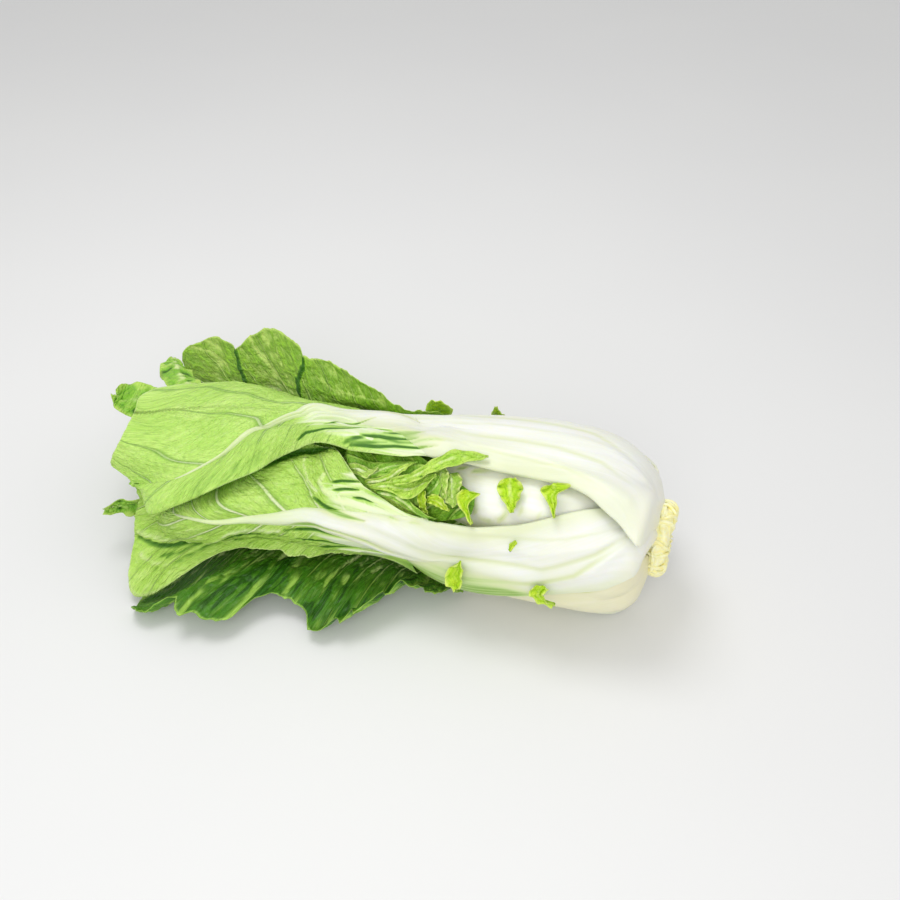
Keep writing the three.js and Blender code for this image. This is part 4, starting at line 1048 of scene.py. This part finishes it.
# Outlines as (s, radius): the stump from the middle of its cut face to its hidden end, and the core, which
# is the flesh in which the feet of the leaves are joined.
ROOT_PROFILE = [
    (-9.4, 0.3), (-10.2, 6), (-9.4, 10), (-10.6, 14.5), (-10.4, 19), (-9, 22.4), (-6, 24.8), (-2.5, 24.4),
    (1.5, 24.2), (6, 23.8), (12, 21), (19, 14), (25, 7), (29, 0.3),
]
CORE_PROFILE = [
    (0.5, 0.3), (0.5, 10), (0.8, 17), (2, 20), (4, 22.5), (8, 29), (12, 33.5), (15, 34), (19, 30), (22, 20),
    (24, 0.3),
]
ROOT_GRID = (130, 110)  # faces round the stump and along its outline
CORE_GRID = (72, 30)
STRANDS = 30
STRAND_STEPS, STRAND_SIDES = 30, 10
CURLED = 3  # every third strand curls round the stump instead of running down its cut face


def turned(profile, rounds, steps):
    """A grid of s, radius and angle round the axis that follows an outline, and its faces."""
    place = np.linspace(0, 1, len(profile))
    t, turn = np.meshgrid(np.linspace(0, 1, steps), np.linspace(0, 2 * np.pi, rounds, endpoint=False),
                          indexing="ij")
    s = through(*zip(place, [s for s, _ in profile]))(t)
    radius = through(*zip(place, [r for _, r in profile]))(t)
    return (s, radius, turn), tube_faces(steps, rounds)


def tube_faces(steps, rounds):
    """The faces of a tube of rings, with both ends closed."""
    index = np.arange(steps * rounds).reshape(steps, rounds)
    a, d = index[:-1], index[1:]
    faces = np.stack([a, np.roll(a, -1, 1), np.roll(d, -1, 1), d], -1).reshape(-1, 4)
    return faces.tolist() + [list(index[0, ::-1]), list(index[-1])]


def root_stump():
    """The cut stump, lumpy, with the scars of old leaves round its side."""
    (s, radius, turn), faces = turned(ROOT_PROFILE, *ROOT_GRID)
    x, y = radius * np.cos(turn), radius * np.sin(turn)
    lumps = 1.3 * humps(x / 6, y / 6 + s / 5, 3) + 0.6 * humps(x / 2.6 + 9, y / 2.6 + s / 2.4, 8)
    scars = 1.0 * np.abs(np.sin(2.5 * turn + s * 0.5)) * smooth(12, 17, radius) * smooth(6, 0, s)
    visible = smooth(20, 8, s)
    radius = radius + (lumps * smooth(2, 8, radius) + scars) * visible - 0.8
    s = s - 0.6 * lumps * visible * smooth(20, 12, radius) * smooth(0, -5, s)
    return on_axis(s, turn, radius).reshape(-1, 3), faces


def root_core():
    (s, radius, turn), faces = turned(CORE_PROFILE, *CORE_GRID)
    return to_space(s, turn, radius, 0.0).reshape(-1, 3), faces


def on_axis(s, turn, radius):
    """A place round the axis itself, in space, without the head's spread."""
    height = radius * np.cos(turn) + AXIS_HEIGHT(0.0) - FLOOR_SINK
    return np.stack([-s, -radius * np.sin(turn), height], -1)


def root_strand(number):
    """A fibrous strand as a thin tube, over the stump's rim and down its cut face or curled round it."""
    spread, length, swing, lift = (float(hashed(np.array(number), np.array(k), 5)) for k in (3, 8, 11, 14))
    start = 2 * np.pi * (number + 0.9 * spread) / STRANDS
    t = np.linspace(0, 1, STRAND_STEPS)
    if number % CURLED:
        s = through((0, 7), (0.35, 1), (0.6, -7), (0.75, -11.2), (1, -10.4))(t)
        rho = through((0, 24.6), (0.35, 24.2), (0.6, 25), (0.75, 20.5), (1, mix(16, 4, length)))(t)
        turn = start + mix(-0.5, 0.5, swing) * t * t + 0.14 * humps(t * 4, number, 2)
    else:
        s = mix(-1.0, -8.0, lift) + 3.0 * humps(t * 2.5, number, 4) * np.sin(np.pi * t)
        rho = 25 - 0.25 * np.maximum(-s - 6, 0) ** 1.6 + 0.6 * humps(t * 5, number, 6)
        turn = start + mix(0.6, 1.3, length) * (t - 0.5) * (1 if swing > 0.5 else -1)
    outward = np.stack([np.full(STRAND_STEPS, 0.4), -np.sin(turn), np.cos(turn)], -1)
    thick = mix(0.8, 1.7, spread) * np.interp(t, [0, 0.2, 0.8, 1], [0.6, 1, 0.8, 0.3])
    return tube(on_axis(s, turn, rho), outward, thick)


def tube(centre, outward, thick):
    """A tube along places in space, thick at each by its radius there."""
    way = np.gradient(centre, axis=0)
    way /= np.linalg.norm(way, axis=1, keepdims=True)
    side = np.cross(way, outward)
    side /= np.linalg.norm(side, axis=1, keepdims=True)
    other = np.cross(way, side)
    angle = np.linspace(0, 2 * np.pi, STRAND_SIDES, endpoint=False)[None, :, None]
    ring = np.cos(angle) * side[:, None] + np.sin(angle) * other[:, None]
    points = centre[:, None] + thick[:, None, None] * ring
    return points.reshape(-1, 3), tube_faces(len(centre), STRAND_SIDES)


# ---------------------------------------------------------------- materials


class Wiring:
    """Adds nodes to one tree and joins their sockets."""

    def __init__(self, tree):
        self.tree = tree

    def node(self, kind, inputs=None, **settings):
        made = self.tree.nodes.new(kind)
        for key, value in settings.items():
            setattr(made, key, value)
        for key, value in (inputs or {}).items():
            self.feed(made.inputs[key], value)
        return made

    def feed(self, socket, value):
        if isinstance(value, bpy.types.NodeSocket):
            self.tree.links.new(value, socket)
        else:
            socket.default_value = value

    def maths(self, operation, first, second=0.0):
        return self.node("ShaderNodeMath", {0: first, 1: second}, operation=operation).outputs[0]

    def times(self, first, second):
        return self.maths("MULTIPLY", first, second)

    def total(self, *parts):
        """The sum of some values, each given with its share."""
        whole = 0.0
        for value, share in parts:
            whole = self.node(
                "ShaderNodeMath", {0: value, 1: share, 2: whole}, operation="MULTIPLY_ADD",
            ).outputs[0]
        return whole

    def step(self, value, start, end, low=0.0, high=1.0):
        """Low up to start and high from end on, with a soft way between."""
        made = self.node(
            "ShaderNodeMapRange",
            {"Value": value, "From Min": start, "From Max": end, "To Min": low, "To Max": high},
            interpolation_type="SMOOTHSTEP",
        )
        return made.outputs[0]

    def blend(self, amount, first, second):
        made = self.node("ShaderNodeMix", {0: amount, 6: first, 7: second}, data_type="RGBA")
        return made.outputs[2]

    def layered(self, colour, *layers):
        """A colour under some others, each given with how much of it shows."""
        for amount, over in layers:
            colour = self.blend(amount, colour, over)
        return colour

    def scaled(self, vector, factors):
        made = self.node("ShaderNodeVectorMath", {0: vector, 1: factors}, operation="MULTIPLY")
        return made.outputs[0]

    def noise(self, vector, scale, detail=2.0, roughness=0.5):
        inputs = {"Vector": vector, "Scale": scale, "Detail": detail, "Roughness": roughness}
        return self.node("ShaderNodeTexNoise", inputs).outputs[0]

    def attribute(self, name):
        """An attribute's vector, and its three numbers."""
        whole = self.node("ShaderNodeAttribute", attribute_name=name).outputs["Vector"]
        parts = self.node("ShaderNodeSeparateXYZ", {0: whole}).outputs
        return whole, parts[0], parts[1], parts[2]

    def bump(self, shader, height, strength, distance):
        made = self.node("ShaderNodeBump", {"Height": height, "Strength": strength, "Distance": distance})
        self.feed(shader["Normal"], made.outputs[0])


SOCKETS = {float: "NodeSocketFloat", tuple: "NodeSocketVector"}


def effect(name, inputs, outputs):
    """A node group with named inputs, given with their usual values, and named number outputs."""
    tree = bpy.data.node_groups.new(name, "ShaderNodeTree")
    for key, value in inputs.items():
        socket = tree.interface.new_socket(name=key, in_out="INPUT", socket_type=SOCKETS[type(value)])
        socket.default_value = value
    for key in outputs:
        tree.interface.new_socket(name=key, in_out="OUTPUT", socket_type="NodeSocketFloat")
    wiring = Wiring(tree)
    return wiring, wiring.node("NodeGroupInput").outputs, wiring.node("NodeGroupOutput").inputs


def web_effect():
    """The net of fine veins in a blade, over its own coordinates in millimetres, on which the blade paints
    shade along the lines and in the hollows between the cushions.
    """
    w, given, made = effect(
        "fine vein net", {"Place": (0.0, 0.0, 0.0), "Cell": 3.0, "Line": 0.06}, ["Lines", "Cushion"],
    )
    warp = w.node("ShaderNodeTexNoise", {"Vector": given["Place"], "Scale": 0.22, "Detail": 2.0}).outputs[1]
    shift = w.scaled(warp, (3.0, 3.0, 0.0))
    moved = w.node("ShaderNodeVectorMath", {0: given["Place"], 1: shift}, operation="ADD").outputs[0]
    scale = w.maths("DIVIDE", 1.0, given["Cell"])
    cells = w.node(
        "ShaderNodeTexVoronoi", {"Vector": moved, "Scale": scale, "Randomness": 0.85},
        feature="DISTANCE_TO_EDGE", voronoi_dimensions="2D",
    ).outputs[0]
    line = w.maths("DIVIDE", cells, given["Line"])
    w.feed(made["Lines"], w.step(line, 0.3, 1.0, 1.0, 0.0))
    w.feed(made["Cushion"], w.step(cells, 0.0, 0.35))
    return w.tree


def side_vein_effect():
    """The side veins of a blade. Count runs by one from vein to vein, which lie Gap millimetres apart."""
    w, given, made = effect(
        "side veins", {"Count": 0.0, "Gap": 14.0, "Half": 1.0, "Out": 0.0}, ["Vein", "Beside"],
    )
    moved = w.maths("FRACT", w.maths("ADD", given["Count"], 100.5))
    away = w.times(w.maths("ABSOLUTE", w.maths("SUBTRACT", moved, 0.5)), given["Gap"])
    half = w.times(given["Half"], w.step(given["Out"], 0.0, 1.0, 1.0, 0.28))
    share = w.maths("DIVIDE", away, half)
    w.feed(made["Vein"], w.step(share, 0.35, 1.0, 1.0, 0.0))
    w.feed(made["Beside"], w.step(share, 0.8, 3.2, 1.0, 0.0))
    return w.tree


def streak_effect():
    """Lengthwise streaks. Place is along and across in millimetres."""
    w, given, made = effect(
        "streaks", {"Place": (0.0, 0.0, 0.0), "Width": 2.0, "Length": 60.0}, ["Streak", "Fibre"],
    )
    parts = w.node("ShaderNodeSeparateXYZ", {0: given["Place"]}).outputs
    along = w.maths("DIVIDE", parts[0], given["Length"])
    across = w.maths("DIVIDE", parts[1], given["Width"])
    place = w.node("ShaderNodeCombineXYZ", {0: along, 1: across, 2: parts[2]}).outputs[0]
    w.feed(made["Streak"], w.step(w.noise(place, 1.0, 3.0, 0.55), 0.3, 0.7))
    w.feed(made["Fibre"], w.noise(w.scaled(place, (1.0, 3.4, 1.0)), 1.0, 2.0, 0.6))
    return w.tree


WEB = web_effect()
SIDE_VEINS = side_vein_effect()
STREAKS = streak_effect()


def new_material(name, **constants):
    """A material, a wiring for its nodes, and its shader's inputs. constants are the shader's own values."""
    material = bpy.data.materials.new(name)
    material.use_nodes = True
    shader = material.node_tree.nodes["Principled BSDF"]
    shader.inputs["Subsurface Scale"].default_value = 1.0
    for key, value in constants.items():
        shader.inputs[key.replace("_", " ")].default_value = value
    return material, Wiring(material.node_tree), shader.inputs


def place_group(w, tree, inputs):
    """Places a node group in a material, with its own values."""
    made = w.tree.nodes.new("ShaderNodeGroup")
    made.node_tree = tree
    for key, value in inputs.items():
        w.feed(made.inputs[key], value)
    return made.outputs


def colour(red, green, blue):
    """A colour given as its shown values, 0 to 255."""
    def linear(x):
        x /= 255
        return x / 12.92 if x <= 0.04045 else ((x + 0.055) / 1.055) ** 2.4
    return (linear(red), linear(green), linear(blue), 1.0)


FLESH = colour(230, 241, 204)  # the white foot of a blade
HOLLOW_SHADE = colour(44, 102, 6)  # painted shade of the deepest folds


def blade_material(name, greens, web=0.25, crease_shade=0.4, half=1.1, veined=0.9, marked_inside=False, rim=0.975):
    """A leaf's blade: mottled green with a net of fine veins, side veins, a white ribbed foot and a light
    margin, which begins at the share rim of the way out. Painted shade lies in the net's hollows and lines,
    in the creases beside the side veins and in the dark folds, and painted highlight on ribs and crests.
    web, crease and veined are how strongly the net's painted shade, the painted shade beside the side veins
    and the veins themselves show, and half is half a vein's width. A blade that is marked inside shows its
    folds and their painted light on the inner face only."""
    material, w, shader = new_material(
        name, Subsurface_Weight=0.12, Subsurface_Radius=(0.0012, 0.002, 0.0004), Specular_IOR_Level=0.35,
    )
    light, dark, deep, vein, pale = [colour(*shown) for shown in greens]
    lie = w.attribute("lie")[0]
    grain = w.attribute("grain")[0]
    _, out, _, outside = w.attribute("tone")
    _, count, gap, _ = w.attribute("rib")
    _, relief, white, _ = w.attribute("relief")
    if marked_inside:
        relief = w.times(relief, w.step(outside, 0.4, 0.6, 1.0, 0.0))
    net = place_group(w, WEB, {"Place": lie, "Cell": 6.5, "Line": 0.07})
    fine = place_group(w, WEB, {"Place": lie, "Cell": 2.4, "Line": 0.13})
    side = place_group(w, SIDE_VEINS, {"Count": count, "Gap": gap, "Half": half, "Out": out})
    lines = place_group(w, STREAKS, {"Place": grain, "Width": 1.7, "Length": 50.0})
    cloud = w.noise(lie, 0.055, 3.0, 0.6)
    speckle = w.noise(lie, 0.35, 3.0, 0.65)
    grit = w.noise(lie, 0.62, 2.0, 0.7)
    net_shade = w.step(fine["Cushion"], 0.0, 1.0, 1.0, 0.0)
    foot = w.step(w.total((white, 1.0), (w.maths("SUBTRACT", lines["Streak"], 0.5), 0.4)), 0.16, 0.78)
    beyond = w.maths("SUBTRACT", 1.0, foot)
    rib = w.blend(w.step(out, 0.0, 0.5), pale, vein)
    flesh = w.blend(w.step(white, 0.6, 1.0), pale, FLESH)
    w.feed(shader["Base Color"], w.layered(
        w.blend(w.step(cloud, 0.34, 0.66), dark, light),
        (w.times(w.step(speckle, 0.4, 0.7), 0.5), dark),
        (w.step(grit, 0.5, 0.75, 0.0, 0.35), deep),
        (w.step(grit, 0.5, 0.25, 0.0, 0.3), vein),
        (w.times(lines["Streak"], 0.2), light),
        # Painted shade in the hollows of the fine net and along the lines of the coarse one.
        (w.times(net_shade, web * 0.8), dark),
        (w.times(net["Lines"], web * 0.6), deep),
        # Painted shade in the creases beside the side veins, kept off the white foot.
        (w.times(w.times(side["Beside"], crease_shade), beyond), deep),
        (w.step(outside, 0.1, 0.5, 0.45, 0.0), deep),
        (w.times(side["Vein"], w.step(out, 0.0, 1.0, veined, veined * 0.55)), rib),
        (foot, flesh),
        # Painted shade in dark folds and hollows, darkest in the deepest, and painted highlight on ribs and
        # crests.
        (w.step(relief, -0.4, -0.05, 0.85, 0.0), dark),
        (w.step(relief, -0.85, -0.3, 0.85, 0.0), deep),
        (w.step(relief, -1.25, -0.7, 0.8, 0.0), HOLLOW_SHADE),
        (w.step(relief, 0.0, 0.95, 0.0, 0.85), rib),
        (w.times(w.step(out, rim, 0.995), 0.55), vein),
    ))
    w.feed(shader["Roughness"], w.step(speckle, 0.3, 0.7, 0.38, 0.52))
    height = w.total(
        (fine["Cushion"], 0.5), (net["Cushion"], 0.8), (side["Vein"], 0.9), (speckle, 0.3),
        (lines["Streak"], 0.5),
    )
    w.bump(shader, height, w.step(white, 0.1, 0.6, 0.8, 0.12), 0.0009)
    return material


def stalk_material(name, colours):
    """A stalk: white flesh with fine fibres; lengthwise streaks, partly its own and partly painted shade of
    its soft ridges; painted creamy shade along its edges; cream at the foot; and tinge and green between
    the ribs at the neck, where dark folds add painted shade."""
    material, w, shader = new_material(
        name, Subsurface_Weight=0.3, Subsurface_Radius=(0.004, 0.0035, 0.002), Specular_IOR_Level=0.45,
    )
    flesh, cream, shade, tinge, green = [colour(*shown) for shown in colours]
    lie = w.attribute("grain")[0]
    _, v, share, outside = w.attribute("tone")
    groove = w.attribute("relief")[1]
    broad = place_group(w, STREAKS, {"Place": lie, "Width": 6.0, "Length": 80.0})
    thin = place_group(w, STREAKS, {"Place": lie, "Width": 1.5, "Length": 50.0})
    cloud = w.noise(lie, 0.03, 2.0, 0.5)
    rising = w.step(share, 0.03, 0.5, 0.25, 1.0)
    edge = w.step(w.maths("ABSOLUTE", v), 0.55, 0.95)
    streaked = w.times(w.step(groove, 0.3, 1.0), w.step(thin["Streak"], 0.0, 0.8, 0.5, 1.0))
    w.feed(shader["Base Color"], w.layered(
        w.blend(w.times(w.step(cloud, 0.35, 0.7), 0.4), flesh, cream),
        # Streaks in the shade colour, partly the stalk's own and partly painted shade of its soft ridges,
        # then painted shade along its thin edges.
        (w.times(w.times(broad["Streak"], rising), 0.55), shade),
        (w.times(thin["Streak"], 0.14), shade),
        (w.times(edge, w.step(share, 0.05, 0.2, 0.5, 0.75)), shade),
        (w.step(share, 0.5, 0.8, 0.0, 0.85), tinge),
        # Painted shade where the grooves begin and where dark folds deepen them, then the tinge and green
        # between the ribs.
        (w.step(groove, 0.0, 0.3), shade),
        (w.step(groove, 0.2, 0.6), tinge),
        (w.times(streaked, 0.9), green),
        (w.step(share, 0.0, 0.07, 0.75, 0.0), cream),
        (w.step(outside, 0.1, 0.5, 0.3, 0.0), tinge),
    ))
    w.feed(shader["Roughness"], w.step(thin["Fibre"], 0.3, 0.7, 0.3, 0.44))
    w.bump(shader, w.total((thin["Fibre"], 0.5), (broad["Streak"], 1.0)), 0.35, 0.0003)
    return material


def root_material():
    """Cut root: cream and straw, fibrous, with darker hollows."""
    material, w, shader = new_material(
        "cut root", Subsurface_Weight=0.2, Subsurface_Radius=(0.003, 0.0025, 0.001),
    )
    place = w.node("ShaderNodeTexCoord").outputs["Object"]
    strands = w.noise(w.scaled(place, (60.0, 420.0, 420.0)), 1.0, 4.0, 0.65)
    spots = w.noise(place, 260.0, 3.0, 0.6)
    w.feed(shader["Base Color"], w.layered(
        w.blend(w.step(strands, 0.3, 0.6), colour(255, 243, 160), colour(255, 253, 206)),
        (w.times(w.step(spots, 0.58, 0.78), 0.25), colour(226, 200, 126)),
    ))
    w.feed(shader["Roughness"], w.step(spots, 0.3, 0.7, 0.5, 0.8))
    w.bump(shader, w.total((strands, 1.0), (spots, 0.5)), 0.5, 0.0006)
    return material


def floor_material():
    material, w, shader = new_material("pale floor", Roughness=0.85)
    place = w.node("ShaderNodeTexCoord").outputs["Object"]
    w.feed(shader["Base Color"], w.blend(w.noise(place, 3.0), (0.8, 0.8, 0.8, 1), (0.84, 0.84, 0.83, 1)))
    return material


def stalk_materials(looks):
    return {tone: stalk_material(name, colours) for tone, (name, *colours) in looks.items()}


def blade_materials(looks):
    made = {}
    for tone, (name, changes, *greens) in looks.items():
        made[tone] = blade_material(name, greens, **changes)
    return made


# The tone of a leaf gives its stalk's and its blade's finish. Colours are as shown, from 0 to 255: the
# stalk's flesh, cream, painted shade, tinge and green, and the blade's light, dark and deep green, the
# colour of its veins and the pale one of their feet.
STALK = stalk_materials({
    "light": ("white stalk",
              (243, 244, 243), (240, 239, 224), (222, 229, 184), (210, 228, 162), (126, 174, 48)),
    # The inner stalks are painted lighter than the outer ones, against the shade they lie in.
    "young": ("inner stalk painted lighter",
              (255, 255, 250), (250, 249, 230), (236, 240, 200), (224, 236, 174), (128, 178, 52)),
    "low": ("low stalk",
            (240, 237, 212), (236, 230, 194), (216, 220, 158), (200, 214, 130), (150, 176, 84)),
})
STALK["mid"] = STALK["deep"] = STALK["top"] = STALK["light"]
STALK["frill"] = STALK["young"]
BLADE = blade_materials({
    "light": ("outer leaf green", dict(half=0.9),
              (202, 238, 120), (174, 218, 86), (84, 140, 28), (218, 242, 158), (232, 243, 196)),
    "top": ("top leaf green", dict(web=0.3, half=0.55, crease_shade=0.55, veined=0.5),
            (204, 240, 126), (180, 224, 98), (92, 148, 36), (212, 240, 150), (232, 243, 200)),
    "mid": ("rear leaf green", dict(web=0.35, half=0.9, marked_inside=True),
            (206, 240, 100), (164, 214, 62), (60, 116, 14), (212, 238, 128), (224, 240, 176)),
    # The lower leaves' greens are partly their own darker green and partly painted shade.
    "deep": ("lower leaf green and painted shade", dict(web=0.4, half=0.7, veined=0.6),
             (122, 182, 44), (70, 130, 20), (26, 68, 6), (172, 214, 90), (222, 238, 170)),
    "young": ("young leaf green", dict(web=0.35),
              (150, 204, 54), (108, 168, 30), (44, 98, 10), (196, 228, 104), (226, 240, 168)),
})
BLADE["frill"] = BLADE["young"]
BLADE["low"] = BLADE["deep"]
SMALL = blade_materials({
    "bright": ("lobe green", dict(web=0.3, half=0.3, crease_shade=0.25, rim=0.7),
               (214, 244, 52), (178, 222, 30), (84, 136, 12), (222, 242, 120), (226, 240, 150)),
    # The leaflet green here and the dark leaflet green below are painted lighter against the shade of the
    # leaves over the clump.
    "young": ("leaflet green", dict(web=0.3, half=0.35, crease_shade=0.3, rim=0.7),
              (208, 244, 100), (166, 216, 62), (56, 108, 12), (206, 234, 116), (232, 242, 180)),
    "mid": ("pale leaflet green", dict(web=0.3, half=0.35, crease_shade=0.3, rim=0.7),
            (206, 234, 120), (160, 206, 66), (70, 124, 18), (226, 242, 150), (238, 246, 200)),
    "deep": ("dark leaflet green", dict(web=0.35, half=0.35, crease_shade=0.3, rim=0.75),
             (174, 224, 80), (124, 186, 46), (34, 84, 8), (190, 224, 100), (226, 240, 168)),
})
ROOT = root_material()

# ---------------------------------------------------------------- the pieces


def add_sheet(name, sheet, material, slot, *nodes):
    finish_piece(closed_sheet(name, *sheet), material, slot, *nodes)


def add_root(name, shape, *nodes):
    finish_piece(new_piece(name, *shape), ROOT, "root", *nodes)


for facts in LEAVES:
    if facts["name"] == CLUMP_UNDER:
        clump_laid = Layers(laid.reach.copy())
    leaf = Leaf(facts, laid.softened())
    blade_slot = "young_blade" if leaf.kind in ("heart", "inner") else "blade"
    add_sheet("stalk.of." + leaf.name, stalk_grid(leaf), STALK[leaf.tone], "stalk", "stalk_" + leaf.name)
    add_sheet("blade.of." + leaf.name, blade_grid(leaf), BLADE[leaf.tone], blade_slot, "blade_" + leaf.name)

for i, (left, right, changes) in enumerate(CLUMP):
    leaflet = formed(CLUMP_PLAIN, left, right, changes)
    under = clump_laid.softened(cells=1, passes=3)
    (s, phi, rho), sheet = lobe_grid(leaflet, under, CLUMP_SEED + i, CLUMP_HELD)
    clump_laid.raise_to(s, phi, mix(under.at(s, phi), rho, PACKED))
    add_sheet("small.leaflet_%d" % (i + 1), sheet, SMALL[leaflet["tone"]], "young_blade")

laid_on = Layers(np.maximum(laid.reach, clump_laid.reach)).softened(cells=2, passes=4)
for i, (left, right, changes) in enumerate(LOBES):
    lobe = formed(LOBE_PLAIN, left, right, changes)
    name = "lobe_%d" % (i + 1)
    add_sheet("small." + name, lobe_grid(lobe, laid_on, i)[1], SMALL["bright"], "young_blade", name)
flake = lobe_grid(formed(LOBE_PLAIN, *FLAKE), laid_on, FLAKE_SEED)[1]
add_sheet("small.flake", flake, SMALL["bright"], "young_blade")
long_leaflet = lobe_grid(formed(LOBE_PLAIN, *LONG_LEAFLET), laid_on, LONG_SEED)[1]
add_sheet("small.leaflet_%d" % (len(CLUMP) + 1), long_leaflet, SMALL["young"], "young_blade")

for i, (left, right, changes) in enumerate(CURLS):
    curl = formed(CURL_PLAIN, left, right, changes)
    add_sheet("blade.curl_%d" % (i + 1), lobe_grid(curl, None, CURL_SEED + i)[1], SMALL["deep"], "blade")

add_root("root.stump", root_stump(), "root_collar")
add_root("root.core", root_core())
for number in range(STRANDS):
    add_root("root.strand_%d" % (number + 1), root_strand(number))

# ---------------------------------------------------------------- floor, light and camera

FLOOR_SIZE = 12
FLOOR_DROP = 0.0003  # how far the floor lies under the head
SKY = 0.68  # strength of the even white light from all round
TARGET = (0, 0, 0.05)  # what both lamps look at
# The camera's place is told from the head's own, and it looks along AZIMUTH and down by ELEVATION.
AZIMUTH = math.radians(18.5)
ELEVATION = math.radians(40)
CAMERA_PLACE = (0.0224, -0.4964, 0.5319)
SENSOR_MM, LENS_MM = 36, 40.24
CLIP_START = 0.01


def softbox(name, place, size, watts):
    """A round lamp of that size, turned to the target."""
    light = bpy.data.lights.new(name, "AREA")
    light.shape = "DISK"
    light.size = size
    light.energy = watts
    lamp = bpy.data.objects.new(name, light)
    lamp.location = place
    lamp.rotation_euler = (Vector(TARGET) - Vector(place)).to_track_quat("-Z", "Y").to_euler()
    bpy.context.scene.collection.objects.link(lamp)


bpy.ops.mesh.primitive_plane_add(size=FLOOR_SIZE, location=(0, 0, -FLOOR_DROP))
floor = bpy.context.object
floor.name = "floor"
floor.data.materials.append(floor_material())

world = bpy.data.worlds.new("studio")
world.use_nodes = True
background = world.node_tree.nodes["Background"].inputs
background["Color"].default_value = (1, 1, 1, 1)
background["Strength"].default_value = SKY
bpy.context.scene.world = world

softbox("key", (-0.25, 0.1, 1.1), 0.55, 3.6)
softbox("fill", (0.25, -0.85, 0.72), 0.7, 3.45)

camera_data = bpy.data.cameras.new("camera")
camera_data.sensor_width = SENSOR_MM
camera_data.lens = LENS_MM
camera_data.clip_start = CLIP_START
camera = bpy.data.objects.new("camera", camera_data)
camera.location = Vector(CAMERA_PLACE) + Vector(OFFSET * MM)
level = math.cos(ELEVATION)
forward = Vector((-math.sin(AZIMUTH) * level, math.cos(AZIMUTH) * level, -math.sin(ELEVATION)))
right = Vector((math.cos(AZIMUTH), math.sin(AZIMUTH), 0))
up = right.cross(forward)
camera.rotation_euler = Matrix((right, up, -forward)).transposed().to_euler()
bpy.context.scene.collection.objects.link(camera)
bpy.context.scene.camera = camera
bpy.context.scene.view_settings.view_transform = "Standard"

bpy.context.view_layer.update()
